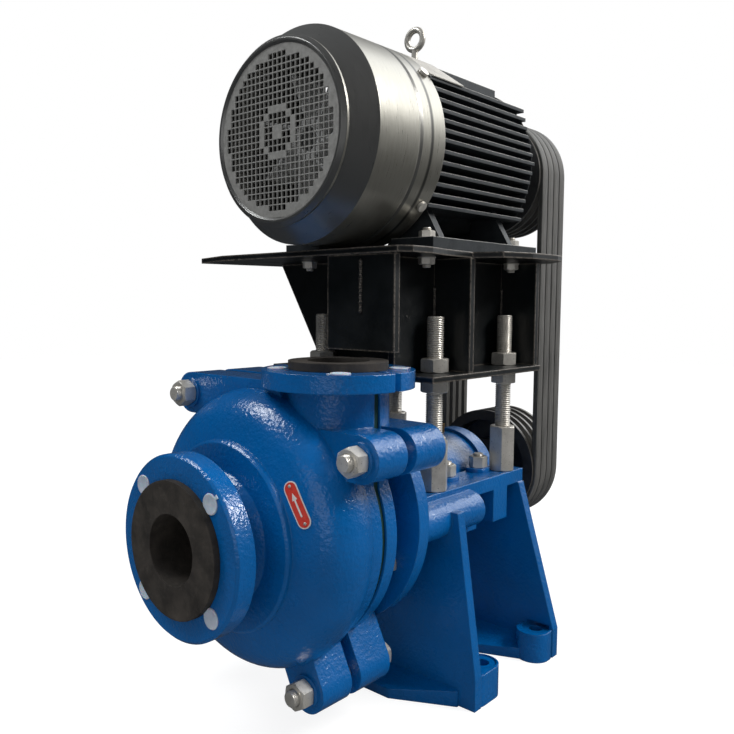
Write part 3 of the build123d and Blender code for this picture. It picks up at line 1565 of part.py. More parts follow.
# Lugs on the frame that carry the cowl, and its screws
cowl_screw_head = 7
cowl_screw_head_height = 4
cowl_screw_inset = 12
cowl_screw_angles = [38, 142, 218, 322]
with BuildPart() as cowl_screws:
    for angle in cowl_screw_angles:
        direction = (cos(radians(angle)), 0, sin(radians(angle)))
        seat = cowl_radius + seat_gap
        seat_plane = Plane(
            origin=(
                seat * direction[0], motor_frame_front - cowl_screw_inset,
                motor_centre_height + seat * direction[2],
            ),
            z_dir=direction,
        )
        add(disc(seat_plane, cowl_screw_head, cowl_screw_head_height))
cowl_screws.part.label = "cowl_screws"
export_step(cowl_screws.part, "parts/cowl_screws.step")

# Terminal box on the side away from the discharge
terminal_depth = 56
terminal_wall = 4
terminal_corner = 10
lid_thickness = 10
gland_hex = 32
gland_hex_height = 14
terminal_face = side_fin_tip + terminal_depth


def sideways(reach):
    """Plane of the terminal box, facing away from the discharge."""
    return Plane(
        origin=(-reach, terminal_y, motor_centre_height + terminal_z), x_dir=(0, -1, 0), z_dir=(-1, 0, 0)
    )


with BuildPart() as terminal_box:
    with BuildSketch(sideways(side_fin_tip)):
        RectangleRounded(terminal_length, terminal_height, terminal_corner)
    extrude(amount=terminal_depth)
    with BuildSketch(sideways(side_fin_tip + terminal_wall)):
        RectangleRounded(
            terminal_length - 2 * terminal_wall, terminal_height - 2 * terminal_wall,
            terminal_corner - terminal_wall
        )
    extrude(amount=terminal_depth, mode=Mode.SUBTRACT)
terminal_box.part.label = "terminal_box"
export_step(terminal_box.part, "parts/terminal_box.step")

with BuildPart() as terminal_lid:
    with BuildSketch(sideways(terminal_face)):
        RectangleRounded(terminal_length, terminal_height, terminal_corner)
    extrude(amount=lid_thickness)
    chamfer(terminal_lid.faces().sort_by(Axis.X)[0].edges(), flange_edge)
terminal_lid.part.label = "terminal_lid"
export_step(terminal_lid.part, "parts/terminal_lid.step")

with BuildPart() as cable_inlet:
    inlet_x = -side_fin_tip - terminal_depth / 2
    inlet_z = motor_centre_height + terminal_z - terminal_height / 2
    with BuildSketch(Plane(origin=(inlet_x, terminal_y, inlet_z), x_dir=(1, 0, 0), z_dir=(0, 0, -1))):
        RegularPolygon(gland_hex / 2, 6, major_radius=False)
    extrude(amount=gland_hex_height)
    inlet_end = inlet_z - gland_hex_height
    with BuildSketch(Plane(origin=(inlet_x, terminal_y, inlet_end), x_dir=(1, 0, 0), z_dir=(0, 0, -1))):
        Circle(gland_hex / 2 - terminal_wall)
    extrude(amount=gland_hex_height)
cable_inlet.part.label = "cable_inlet"
export_step(cable_inlet.part, "parts/cable_inlet.step")

# Pulleys and V-belts
pulley_radius = 93
belt_count = 4
belt_pitch = 19
belt_top_width = 16.5
belt_thickness = 11
belt_outer_radius = 98
belt_side_lean = 0.34
groove_gap = 0.4
pulley_web = 20
rim_inner_radius = 76
pulley_hub_radius = 42
belt_inner_radius = belt_outer_radius - belt_thickness
belt_bottom_width = belt_top_width - 2 * belt_thickness * belt_side_lean
belt_centres = [belt_plane + (place - (belt_count - 1) / 2) * belt_pitch for place in range(belt_count)]


def pulley(height, shaft_radius):
    """A grooved pulley with a dished web and a hub."""
    groove_top = belt_top_width / 2 + groove_gap + (pulley_radius - belt_outer_radius) * belt_side_lean
    groove_bottom = belt_bottom_width / 2 + groove_gap - groove_gap * belt_side_lean
    with BuildPart() as wheel:
        add(ring(height, pulley_front, pulley_back, rim_inner_radius, pulley_radius).part)
        add(
            ring(
                height, belt_plane - pulley_web / 2, belt_plane + pulley_web / 2,
                pulley_hub_radius / 2, rim_inner_radius + groove_gap,
            ).part
        )
        add(ring(height, pulley_front, pulley_back, shaft_radius + seat_gap, pulley_hub_radius).part)
        for centre in belt_centres:
            add(
                turned(
                    height,
                    (centre - groove_top, pulley_radius),
                    (centre - groove_bottom, belt_inner_radius - groove_gap),
                    (centre + groove_bottom, belt_inner_radius - groove_gap),
                    (centre + groove_top, pulley_radius),
                    (centre + groove_top, pulley_radius + overrun),
                    (centre - groove_top, pulley_radius + overrun),
                ).part,
                mode=Mode.SUBTRACT,
            )
    return wheel


pump_pulley = pulley(shaft_height, drive_radius)
pump_pulley.part.label = "pump_pulley"
export_step(pump_pulley.part, "parts/pump_pulley.step")

motor_pulley = pulley(motor_centre_height, motor_shaft_radius)
motor_pulley.part.label = "motor_pulley"
export_step(motor_pulley.part, "parts/motor_pulley.step")


def belt_section(centre, plane):
    """Trapezoid of a V-belt in a plane through the pulley's axis."""
    with BuildSketch(plane) as section:
        with BuildLine():
            Polyline(
                (centre - belt_top_width / 2, belt_outer_radius),
                (centre + belt_top_width / 2, belt_outer_radius),
                (centre + belt_bottom_width / 2, belt_inner_radius),
                (centre - belt_bottom_width / 2, belt_inner_radius),
                close=True,
            )
        make_face()
    return section.sketch


with BuildPart() as v_belts:
    for centre in belt_centres:
        for height, start in ((motor_centre_height, 1), (shaft_height, -1)):
            end_plane = Plane(origin=(0, 0, height), x_dir=(0, 1, 0), z_dir=(0, 0, start))
            revolve(belt_section(centre, end_plane), axis=shaft_line(height), revolution_arc=180)
        for side in (-1, 1):
            run_plane = Plane(origin=(0, 0, shaft_height), x_dir=(0, side, 0), z_dir=(0, 0, 1))
            extrude(belt_section(side * centre, run_plane), amount=motor_centre_height - shaft_height)
v_belts.part.label = "v_belts"
export_step(v_belts.part, "parts/v_belts.step")
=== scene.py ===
# %% [markdown]
# # A belt driven slurry pump
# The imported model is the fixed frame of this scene: every rigid part stands where it was designed.
# This lesson dresses it. Cast iron gets its paint, screws get their threads, belts their wrap.

# %% Load the frame
import json
import math
from contextlib import contextmanager

import bmesh
import bpy
from mathutils import Matrix, Vector
from mathutils.bvhtree import BVHTree


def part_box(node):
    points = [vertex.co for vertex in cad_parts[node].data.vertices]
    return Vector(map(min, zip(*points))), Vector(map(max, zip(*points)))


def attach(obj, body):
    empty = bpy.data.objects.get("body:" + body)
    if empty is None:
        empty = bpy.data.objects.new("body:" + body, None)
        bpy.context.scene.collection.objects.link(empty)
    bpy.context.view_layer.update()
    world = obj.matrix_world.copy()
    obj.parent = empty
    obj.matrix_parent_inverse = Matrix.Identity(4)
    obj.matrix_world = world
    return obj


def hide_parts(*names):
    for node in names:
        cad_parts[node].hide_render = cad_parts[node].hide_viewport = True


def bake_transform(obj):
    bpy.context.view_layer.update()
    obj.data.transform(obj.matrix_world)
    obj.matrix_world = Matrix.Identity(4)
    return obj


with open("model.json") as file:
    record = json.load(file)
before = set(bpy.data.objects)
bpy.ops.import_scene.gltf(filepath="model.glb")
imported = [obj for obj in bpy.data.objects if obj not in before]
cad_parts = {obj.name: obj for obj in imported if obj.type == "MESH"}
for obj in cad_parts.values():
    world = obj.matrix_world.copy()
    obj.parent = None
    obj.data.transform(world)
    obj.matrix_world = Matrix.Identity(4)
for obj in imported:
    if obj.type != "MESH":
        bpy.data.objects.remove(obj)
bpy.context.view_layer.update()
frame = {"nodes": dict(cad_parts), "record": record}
nodes = frame["nodes"]
scene = bpy.context.scene
MM = 0.001

# %% [markdown]
# ## The camera
# The picture was taken a little above the middle of the pump, from the right of the intake.
# The position and the lens were fitted to edges whose sizes are known: the flange circle, the nuts,
# the corners of the mount. A small shift stands for the way the picture was cropped.

# %% Camera
eye = Vector((0.7155, -0.9538, 0.5343))
turn_round = math.radians(41.89)
look_down = math.radians(4.52)
lean = math.radians(0.39)
forward = Vector((
    -math.sin(turn_round) * math.cos(look_down),
    math.cos(turn_round) * math.cos(look_down),
    -math.sin(look_down),
))
level_right = Vector((math.cos(turn_round), math.sin(turn_round), 0))
level_up = level_right.cross(forward)
right = math.cos(lean) * level_right + math.sin(lean) * level_up
up = -math.sin(lean) * level_right + math.cos(lean) * level_up
lens = bpy.data.cameras.new("picture_camera")
lens.sensor_width = 36
lens.lens = 37.79
lens.shift_x = 0.0169
lens.shift_y = -0.0073
lens.clip_start = 0.01
camera = bpy.data.objects.new("picture_camera", lens)
scene.collection.objects.link(camera)
turned = Matrix((right, up, -forward)).transposed().to_4x4()
camera.matrix_world = Matrix.Translation(eye) @ turned
scene.camera = camera
scene.view_settings.view_transform = "Standard"
print("camera at", tuple(eye), "lens", lens.lens)

# %% [markdown]
# ## Wiring nodes
# Materials and Geometry Nodes are both trees of boxes joined by wires.
# One helper adds a box: plain settings go in as keywords, sockets as a table of names or numbers.
# A table entry that is itself an output becomes a wire, anything else is set as a value.
# The other helpers find the tree from the outputs that they are given.

# %% One helper for every node


def add_node(tree, kind, sockets=None, **settings):
    """a new node in a tree, with its settings made and its inputs set or wired"""
    made = tree.nodes.new(kind)
    for name, value in settings.items():
        setattr(made, name, value)
    for name, value in (sockets or {}).items():
        if isinstance(value, bpy.types.NodeSocket):
            tree.links.new(value, made.inputs[name])
        else:
            made.inputs[name].default_value = value
    return made


def tree_of(*values):
    """the tree that the first output among some values belongs to"""
    return next(value.id_data for value in values if isinstance(value, bpy.types.NodeSocket))


def ramp(fac, stops):
    """a colour ramp: stops are (place, colour) from low to high"""
    made = add_node(tree_of(fac), "ShaderNodeValToRGB", {"Fac": fac})
    band = made.color_ramp.elements
    while len(band) < len(stops):
        band.new(0.5)
    for element, (place, colour) in zip(band, stops):
        element.position = place
        element.color = (*colour, 1)
    return made.outputs["Color"]


def grey_ramp(fac, low, high, dark=0.0, light=1.0):
    """a ramp of greys that rises from dark to light between two places"""
    return ramp(fac, [(low, (dark,) * 3), (high, (light,) * 3)])


def noise(place, scale, detail=3.0, rough=0.55, stretch=(1, 1, 1)):
    """noise on the object's own coordinates, scale in features per metre"""
    tree = tree_of(place)
    mapping = add_node(tree, "ShaderNodeMapping", {"Vector": place, "Scale": stretch})
    sockets = {"Vector": mapping.outputs[0], "Scale": scale, "Detail": detail, "Roughness": rough}
    return add_node(tree, "ShaderNodeTexNoise", sockets).outputs[0]


def math_node(operation, first, second=0.0):
    """one sum between two values"""
    tree = tree_of(first, second)
    return add_node(tree, "ShaderNodeMath", {0: first, 1: second}, operation=operation).outputs[0]


def product(*factors):
    """several values multiplied together"""
    whole = factors[0]
    for factor in factors[1:]:
        whole = math_node("MULTIPLY", whole, factor)
    return whole


def vector_node(operation, first, second=(0, 0, 0), scale=None):
    """one sum between two vectors; a length or a dot product comes out as a number"""
    sockets = {0: first, 1: second} if scale is None else {0: first, "Scale": scale}
    made = add_node(tree_of(first), "ShaderNodeVectorMath", sockets, operation=operation)
    return made.outputs["Value" if operation in ("LENGTH", "DOT_PRODUCT") else 0]


def part_of(vector, letter):
    """one coordinate of a vector"""
    return add_node(tree_of(vector), "ShaderNodeSeparateXYZ", {0: vector}).outputs[letter]


def mix_colour(factor, first, second):
    """the first colour turning into the second as the factor rises"""
    made = add_node(tree_of(factor), "ShaderNodeMix", data_type="RGBA")
    factor_in, first_in, second_in = made.inputs[0], made.inputs[6], made.inputs[7]
    for socket, value in ((factor_in, factor), (first_in, first), (second_in, second)):
        if isinstance(value, bpy.types.NodeSocket):
            made.id_data.links.new(value, socket)
        else:
            socket.default_value = (*value, 1)
    return made.outputs[2]


print("node helpers ready")

# %% [markdown]
# ## Rounded edges and worn edges
# Real castings and plates have no razor edges: each one catches a thin line of light.
# The Bevel node bends the normal near an edge without touching the mesh.
# Where the bent normal leaves the true one there is an edge, so the same node also shows where
# paint is thin or dust gathers.

# %% Edge helpers


def soft_edges(tree, radius):
    """the normal, rounded over the edges within a radius in metres"""
    return add_node(tree, "ShaderNodeBevel", {"Radius": radius}, samples=6).outputs[0]


def edge_mask(tree, radius, low=0.02, high=0.25):
    """1 on edges, 0 on flats"""
    rounded = soft_edges(tree, radius)
    flat = add_node(tree, "ShaderNodeNewGeometry").outputs["Normal"]
    apart = math_node("SUBTRACT", 1.0, vector_node("DOT_PRODUCT", rounded, flat))
    return grey_ramp(apart, low, high)


def bumps(normal, layers):
    """bump layers, each (height, distance in metres, strength), one on top of the other"""
    for height, distance, strength in layers:
        sockets = {"Height": height, "Distance": distance, "Strength": strength, "Normal": normal}
        normal = add_node(tree_of(normal), "ShaderNodeBump", sockets).outputs[0]
    return normal


finishes = {}


def start_material(name, fixed):
    """an empty material with one Principled shader, kept in the table of finishes under its name"""
    made = bpy.data.materials.new(name + "_finish")
    finishes[name] = made
    made.use_nodes = True
    tree = made.node_tree
    tree.nodes.clear()
    shader = add_node(tree, "ShaderNodeBsdfPrincipled", fixed, label=name)
    output = add_node(tree, "ShaderNodeOutputMaterial")
    tree.links.new(shader.outputs[0], output.inputs[0])
    place = add_node(tree, "ShaderNodeTexCoord").outputs["Object"]
    return tree, shader, place


def wire(shader, colour, rough, rounding, layers, coated=False):
    """join a colour, a roughness and bumps over rounded edges to a shader; a thick coat reads them too"""
    tree = shader.id_data
    skin = bumps(soft_edges(tree, rounding), layers)
    joined = {"Base Color": colour, "Roughness": rough, "Normal": skin}
    if coated:
        joined["Coat Normal"] = skin
    for name, value in joined.items():
        tree.links.new(value, shader.inputs[name])
    print(shader.label, "has", len(tree.nodes), "nodes")


def even_paint(name, grain, tones, shine, rounding, pits, **fixed):
    """a plain coat: one grain makes its tone, its gloss and a fine bump drift together"""
    _, shader, place = start_material(name, {key.replace("_", " "): value for key, value in fixed.items()})
    drift = noise(place, *grain)
    wire(shader, ramp(drift, tones), grey_ramp(drift, *shine), rounding, [(drift, pits, 0.4)])
    return finishes[name]


print("edge helpers ready")

# %% [markdown]
# ## Blue enamel over cast iron
# The casing and the pedestal are sand castings under a thick coat of gloss blue.
# The coat follows the sand's lumps, has a fine orange peel of its own, is a little paler on worn
# edges and a little milky where dust lies on it. A clear coat gives the wet sparkle on the lugs: it
# reads the same bumps as the paint, because its own normal would otherwise be smooth.

# %% Blue enamel
tree, shader, place = start_material(
    "blue_enamel", {"Coat Weight": 1.0, "Coat Roughness": 0.05, "Specular IOR Level": 0.15}
)
lumps = noise(place, 38, 4)
peel = noise(place, 210, 2)
sand = noise(place, 900, 2, 0.7)
tone = noise(place, 9, 3)
deep = ramp(tone, [(0.3, (0.0, 0.092, 0.30)), (0.7, (0.0, 0.118, 0.385))])
dust_low = product(grey_ramp(noise(place, 22, 8, 0.72), 0.55, 0.85), 0.05)
dusty = mix_colour(dust_low, deep, (0.02, 0.20, 0.40))
chalk = product(edge_mask(tree, 0.0014), 0.14)
wire(
    shader, mix_colour(chalk, dusty, (0.02, 0.20, 0.45)),
    grey_ramp(noise(place, 30, 6, 0.65), 0.3, 0.75, 0.22, 0.48),
    0.0022, [(lumps, 0.0015, 0.45), (peel, 0.0016, 0.65), (sand, 0.0002, 0.5)], coated=True,
)

# %% [markdown]
# ## Lining rubber
# The liners are moulded rubber that stood in a workshop: brown black, matte, wiped with dust
# that lies in soft clouds and in fine scuffs. Its edge shows dark green in the seam of the casing,
# so a mask picks what lies far from the shaft and below the neck.

# %% Lining rubber
shaft_low, shaft_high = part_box("pump_shaft")
shaft_height = (shaft_low.z + shaft_high.z) / 2
seam_radius, neck_foot = 0.140, 0.43
_, shader, place = start_material("lining_rubber", {"Specular IOR Level": 0.35})
cloud = noise(place, 26, 6, 0.7)
scuff = noise(place, 120, 4, 0.7, (1, 4, 1))
brown = ramp(cloud, [(0.3, (0.016, 0.014, 0.0125)), (0.75, (0.062, 0.052, 0.043))])
dust = product(grey_ramp(scuff, 0.55, 0.8), 0.35)
from_shaft = vector_node("SUBTRACT", place, (0, 0, shaft_height))
away = vector_node("LENGTH", vector_node("MULTIPLY", from_shaft, (1, 0, 1)))
below_neck = math_node("LESS_THAN", part_of(place, "Z"), neck_foot)
seam = product(math_node("GREATER_THAN", away, seam_radius), below_neck)
dusted = mix_colour(dust, brown, (0.10, 0.088, 0.075))
wire(
    shader, mix_colour(seam, dusted, (0.003, 0.040, 0.036)), grey_ramp(cloud, 0.2, 0.8, 0.62, 0.86),
    0.0015, [(cloud, 0.0007, 0.5), (scuff, 0.0002, 0.5)],
)

# %% [markdown]
# ## Metals
# Zinc plated screws, turned steel, iron, bronze and stamped core plates are the same recipe with
# other numbers: a colour that drifts between two tones, a roughness that drifts too,
# and a fine bump that follows the tool. The function keeps them as one family.

# %% A family of metals


def metal(name, tones, shine, grain, stretch=(1, 1, 1), edges=0.0006, metallic=1.0):
    """a metal whose tone, polish and tool marks drift over the surface"""
    _, shader, place = start_material(name, {"Metallic": metallic})
    drift = noise(place, 35, 5, 0.6)
    marks = noise(place, grain, 3, 0.6, stretch)
    wire(
        shader, ramp(drift, [(0.3, tones[0]), (0.7, tones[1])]), grey_ramp(marks, 0.25, 0.75, *shine),
        edges, [(marks, 0.00012, 0.6)],
    )
    return finishes[name]


turned_marks = (0.2, 3, 0.2)
zinc = metal(
    "zinc_fasteners", ((0.51, 0.485, 0.44), (0.77, 0.74, 0.68)), (0.24, 0.44), 420, edges=0.0005, metallic=0.6
)
groove = metal(
    "turned_grooves", ((0.15, 0.145, 0.135), (0.26, 0.25, 0.235)), (0.30, 0.46), 500, turned_marks,
    metallic=0.7,
)
metal("machined_steel", ((0.42, 0.42, 0.42), (0.56, 0.56, 0.55)), (0.2, 0.36), 700, turned_marks)
metal("cast_iron", ((0.030, 0.031, 0.033), (0.060, 0.060, 0.060)), (0.42, 0.62), 260, metallic=0.55)
metal("bronze", ((0.50, 0.30, 0.11), (0.63, 0.40, 0.17)), (0.25, 0.42), 500)
metal("core_plates", ((0.16, 0.16, 0.165), (0.26, 0.26, 0.26)), (0.35, 0.55), 1500, (0.02, 1, 0.02))

# %% [markdown]
# ## Packing rope
# Gland packing is a braided square rope, soaked in grease. Two crossed wave textures make the
# plaits; where they rise together a strand lies on top.

# %% Packing rope
tree, shader, place = start_material("packing_rope", {"Specular IOR Level": 0.3})
plaits = []
for bias in (math.radians(45), math.radians(-45)):
    slant = add_node(tree, "ShaderNodeMapping", {"Vector": place, "Rotation": (0, 0, bias)})
    plait = add_node(
        tree, "ShaderNodeTexWave", {"Vector": slant.outputs[0], "Scale": 90, "Distortion": 0.6}
    )
    plaits.append(plait.outputs["Fac"])
braid = product(*plaits)
wire(
    shader, ramp(braid, [(0.0, (0.16, 0.12, 0.06)), (0.8, (0.45, 0.37, 0.23))]),
    grey_ramp(braid, 0, 1, 0.7, 0.9), 0.0008, [(braid, 0.0006, 0.8)],
)

# %% [markdown]
# ## Belt rubber
# Wrapped V-belts wear a cloth jacket over the rubber. The cloth is a fine weave, greyed by dust,
# and scuffed to lighter streaks along the way the belt runs.

# %% Belt rubber
tree, shader, place = start_material("belt_rubber", {"Specular IOR Level": 0.4})
along = noise(place, 60, 4, 0.6, (1, 9, 0.25))
weave = []
for way in ("X", "Z"):
    thread = add_node(
        tree, "ShaderNodeTexWave", {"Vector": place, "Scale": 420, "Distortion": 0.4},
        bands_direction=way,
    )
    weave.append(thread.outputs["Fac"])
cloth = math_node("MAXIMUM", weave[0], weave[1])
wire(
    shader, ramp(along, [(0.3, (0.045, 0.045, 0.043)), (0.75, (0.14, 0.137, 0.13))]),
    grey_ramp(along, 0.3, 0.8, 0.5, 0.72), 0.0012, [(cloth, 0.00015, 0.35), (along, 0.0003, 0.4)],
)

# %% [markdown]
# ## Black paint on cut plate
# The motor mount is welded from flame cut plate and brushed black. Flats are nearly mirror dark
# with brush drag and specks of dust; the cut edges stayed brown grey, because the paint is thin there.

# %% Black steelwork
tree, shader, place = start_material(
    "black_steelwork", {"Coat Weight": 0.25, "Coat Roughness": 0.18, "Specular IOR Level": 0.45}
)
scale_marks = noise(place, 24, 6, 0.7)
drag = noise(place, 130, 3, 0.6, (1, 1, 0.25))
speck = noise(place, 700, 2, 0.8)
base = ramp(scale_marks, [(0.3, (0.0012, 0.0024, 0.0032)), (0.8, (0.0052, 0.0076, 0.0092))])
specked = mix_colour(product(grey_ramp(speck, 0.66, 0.76), 0.35), base, (0.13, 0.12, 0.11))
flaked = grey_ramp(noise(place, 330, 5, 0.75), 0.38, 0.58, 0.1, 1.0)
cut = product(edge_mask(tree, 0.0042, 0.012, 0.12), flaked)
wire(
    shader, mix_colour(cut, specked, (0.215, 0.185, 0.155)), grey_ramp(scale_marks, 0.25, 0.8, 0.28, 0.6),
    0.0015, [(scale_marks, 0.0008, 0.4), (drag, 0.0003, 0.45), (speck, 0.00012, 0.3)], coated=True,
)

# %% [markdown]
# ## Motor paints
# The finned frame is cast iron in dark blue grey; its fin crests that face up get a pale painted highlight.
# The cowl is pressed sheet in a silver grey with metal flakes: it has a broad satin highlight,
# drawn round the barrel by the press, and a pressed groove near its back with a nearly black painted
# shade in it. Its face that looks forward gets a painted shade, a darker tone. The fan and its guard
# are plainer, so one function does both; the fan is painted pale as painted light through the guard.

# %% Motor frame paint
tree, shader, place = start_material("motor_grey", {"Specular IOR Level": 0.3})
cast_grain = noise(place, 320, 3, 0.6)
cast_lump = noise(place, 45, 4, 0.6)
grey = ramp(cast_lump, [(0.3, (0.014, 0.017, 0.020)), (0.75, (0.032, 0.037, 0.041))])
# painted highlight: fin edges that face up, but not the flat tops, are painted pale
rolled = part_of(soft_edges(tree, 0.0016), "Z")
flat_top = 0.985
upper = product(grey_ramp(rolled, 0.3, 0.6), math_node("LESS_THAN", rolled, flat_top))
painted_crest_highlight = product(edge_mask(tree, 0.0016, 0.01, 0.12), upper, 0.95)
wire(
    shader, mix_colour(painted_crest_highlight, grey, (0.60, 0.59, 0.56)), grey_ramp(cast_grain, 0.3, 0.7, 0.36, 0.56),
    0.0012, [(cast_lump, 0.0008, 0.35), (cast_grain, 0.0002, 0.4)],
)

# %% Cowl paint
tree, shader, place = start_material(
    "cowl_grey", {"Metallic": 0.85, "Coat Weight": 0.15, "Coat Roughness": 0.2}
)
drawn = noise(place, 50, 4, 0.6, (1, 14, 1))
flake = noise(place, 1500, 1, 0.5)
silver = ramp(drawn, [(0.3, (0.31, 0.30, 0.262)), (0.7, (0.37, 0.357, 0.315))])
# painted shade: the cowl's faces that look forward are painted a darker tone
backward = part_of(add_node(tree, "ShaderNodeNewGeometry").outputs["Normal"], "Y")
front_face_shade = grey_ramp(product(backward, -1), 0.12, 0.4)
front_shaded_silver = mix_colour(front_face_shade, silver, (0.22, 0.22, 0.215))
rubbed = product(edge_mask(tree, 0.0012, 0.04, 0.35), 0.5)
# painted shade: a nearly black band is painted along the pressed groove near the back of the cowl
groove_inset, groove_half = 0.027, 0.0042
groove_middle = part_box("fan_cowl")[1].y - groove_inset
off_groove = math_node("ABSOLUTE", math_node("SUBTRACT", part_of(place, "Y"), groove_middle))
groove_shade = grey_ramp(math_node("DIVIDE", off_groove, groove_half), 0.35, 1.0, 0.85, 0.0)
rubbed_tone = mix_colour(rubbed, front_shaded_silver, (0.50, 0.49, 0.46))
wire(
    shader, mix_colour(groove_shade, rubbed_tone, (0.03, 0.03, 0.03)), grey_ramp(drawn, 0.3, 0.75, 0.27, 0.38),
    0.0012, [(drawn, 0.0002, 0.25), (flake, 0.00006, 0.3)],
)

# %% Fan plastic and guard paint
# painted light: the fan's colour is raised pale, for the light that reaches it through the guard
even_paint(
    "fan_plastic", (180, 3, 0.6), [(0.3, (0.74, 0.74, 0.73)), (0.7, (0.84, 0.84, 0.83))],
    (0.3, 0.7, 0.42, 0.58), 0.0008, 0.0002, Specular_IOR_Level=0.45,
)
guard_paint = even_paint(
    "guard_paint", (240, 4, 0.6), [(0.3, (0.21, 0.207, 0.196)), (0.7, (0.30, 0.295, 0.28))],
    (0.3, 0.7, 0.42, 0.6), 0.0006, 0.0002, Metallic=0.15, Specular_IOR_Level=0.45,
)

# %% [markdown]
# ## Give every rigid part its finish
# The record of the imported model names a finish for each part. The materials above carry the same
# names, so a table joins them, and no part is left with a plain colour. Two parts are painted over,
# and the rims of both pulleys, where the belts run, are left as turned metal by a second slot.

# %% Dress the rigid parts
slot_of = {entry["node"]: entry["material_slot"] for entry in frame["record"]["subparts"]}
painted_over = {"clamp_washers": "blue_enamel", "fan_guard": "guard_paint"}
grooved = {"pump_pulley", "motor_pulley"}
rim_share, end_face = 0.88, 0.985
for name, part in nodes.items():
    finish = finishes[painted_over.get(name, slot_of[name])]
    part.data.materials.clear()
    part.data.materials.append(finish)
    if name in grooved:
        part.data.materials.append(groove)
        low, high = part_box(name)
        axis_height = (low.z + high.z) / 2
        rim = rim_share * (high.z - axis_height)
        for face in part.data.polygons:
            out = math.hypot(face.center.x, face.center.z - axis_height)
            face.material_index = int(out > rim and abs(face.normal.y) < end_face)
print("dressed", len(nodes), "parts with", len(finishes), "finishes")

# %% [markdown]
# ## Reading the frame
# Screws and nuts come as many solids in one part. Splitting a part into its islands gives each one's
# box, and so its place, its width over the flats and its height: nothing has to be typed in twice.

# %% Islands of a part


def solids(name):
    """the (low corner, high corner) of every separate solid in a rigid part"""
    work = bmesh.new()
    work.from_mesh(nodes[name].data)
    bmesh.ops.remove_doubles(work, verts=work.verts, dist=0.000002)
    left = set(work.verts)
    boxes = []
    while left:
        island = [left.pop()]
        for corner in island:
            for edge in corner.link_edges:
                other = edge.other_vert(corner)
                if other in left:
                    left.discard(other)
                    island.append(other)
        low = Vector([min(corner.co[k] for corner in island) for k in range(3)])
        high = Vector([max(corner.co[k] for corner in island) for k in range(3)])
        boxes.append((low, high))
    work.free()
    return sorted(boxes, key=lambda box: tuple(round(value, 4) for value in box[0]))


body_of = {part: body for body, members in frame["record"]["behaviour"]["bodies"].items() for part in members}
print("casing nuts found:", len(solids("casing_nuts")))

# %% [markdown]
# ## Handing over a mesh
# Every piece ends as one plain mesh at the origin that rides on a body. A grown tree is evaluated,
# its result is copied to a plain mesh, and the modifier is taken away before the piece is handed over.

# %% Shade and join


@contextmanager
def edited(mesh):
    """open a mesh for changes to its corners and faces, and write them back at the end"""
    work = bmesh.new()
    work.from_mesh(mesh)
    yield work
    work.to_mesh(mesh)
    work.free()


def turn_faces_out(work):
    """make every face of a closed shape point outwards"""
    bmesh.ops.recalc_face_normals(work, faces=work.faces)


def join(name, mesh, sharp, body, slot_name, *stands_for):
    """shade a mesh smooth, but for edges above an angle, and set it in as a piece, on a body or none yet"""
    mesh.polygons.foreach_set("use_smooth", [True] * len(mesh.polygons))
    mesh.set_sharp_from_angle(angle=math.radians(sharp))
    piece = bpy.data.objects.new(name, mesh)
    scene.collection.objects.link(piece)
    if body:
        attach(piece, body)
    if stands_for:
        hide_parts(*stands_for)
    print(name, "on", body, "faces", len(mesh.polygons))
    return piece


print("joining helpers ready")

# %% Grow a tree


def new_tree(name, sizes):
    """an empty Geometry Nodes tree with a mesh going in, a mesh coming out, and named inputs"""
    tree = bpy.data.node_groups.new(name, "GeometryNodeTree")
    tree.interface.new_socket("Geometry", in_out="INPUT", socket_type="NodeSocketGeometry")
    for label, kind in sizes:
        tree.interface.new_socket(label, in_out="INPUT", socket_type="NodeSocket" + kind)
    tree.interface.new_socket("Geometry", in_out="OUTPUT", socket_type="NodeSocketGeometry")
    return tree, add_node(tree, "NodeGroupInput").outputs


def end_tree(tree, geometry, finish):
    """realise the instances, set the finish and close the tree"""
    real = add_node(tree, "GeometryNodeRealizeInstances", {0: geometry})
    painted = add_node(tree, "GeometryNodeSetMaterial", {"Geometry": real.outputs[0], "Material": finish})
    add_node(tree, "NodeGroupOutput", {0: painted.outputs[0]})


def grow(tree, points, **sizes):
    """run a tree on a cloud of points and return the result as a plain mesh"""
    cloud = bpy.data.meshes.new(tree.name + "_points")
    cloud.from_pydata([tuple(point) for point in points], [], [])
    holder = bpy.data.objects.new(tree.name + "_holder", cloud)
    scene.collection.objects.link(holder)
    growing = holder.modifiers.new("growing", "NODES")
    growing.node_group = tree
    for item in tree.interface.items_tree:
        key = item.name.replace(" ", "_")
        if item.in_out == "INPUT" and key in sizes:
            growing[item.identifier] = sizes[key]
    bpy.context.view_layer.update()
    evaluated = holder.evaluated_get(bpy.context.evaluated_depsgraph_get())
    mesh = bpy.data.meshes.new_from_object(evaluated)
    holder.modifiers.remove(growing)
    bpy.data.objects.remove(holder)
    return mesh


print("growing helpers ready")

# %% [markdown]
# ## One tree sets out copies
# Nuts, washers, plugs and rivets are the same job: copies of one pattern on a list of places, tilted
# to an axis, and where it shows each turned a little differently about it, as hands leave them.
# A fixed seed keeps the turns the same on every run.

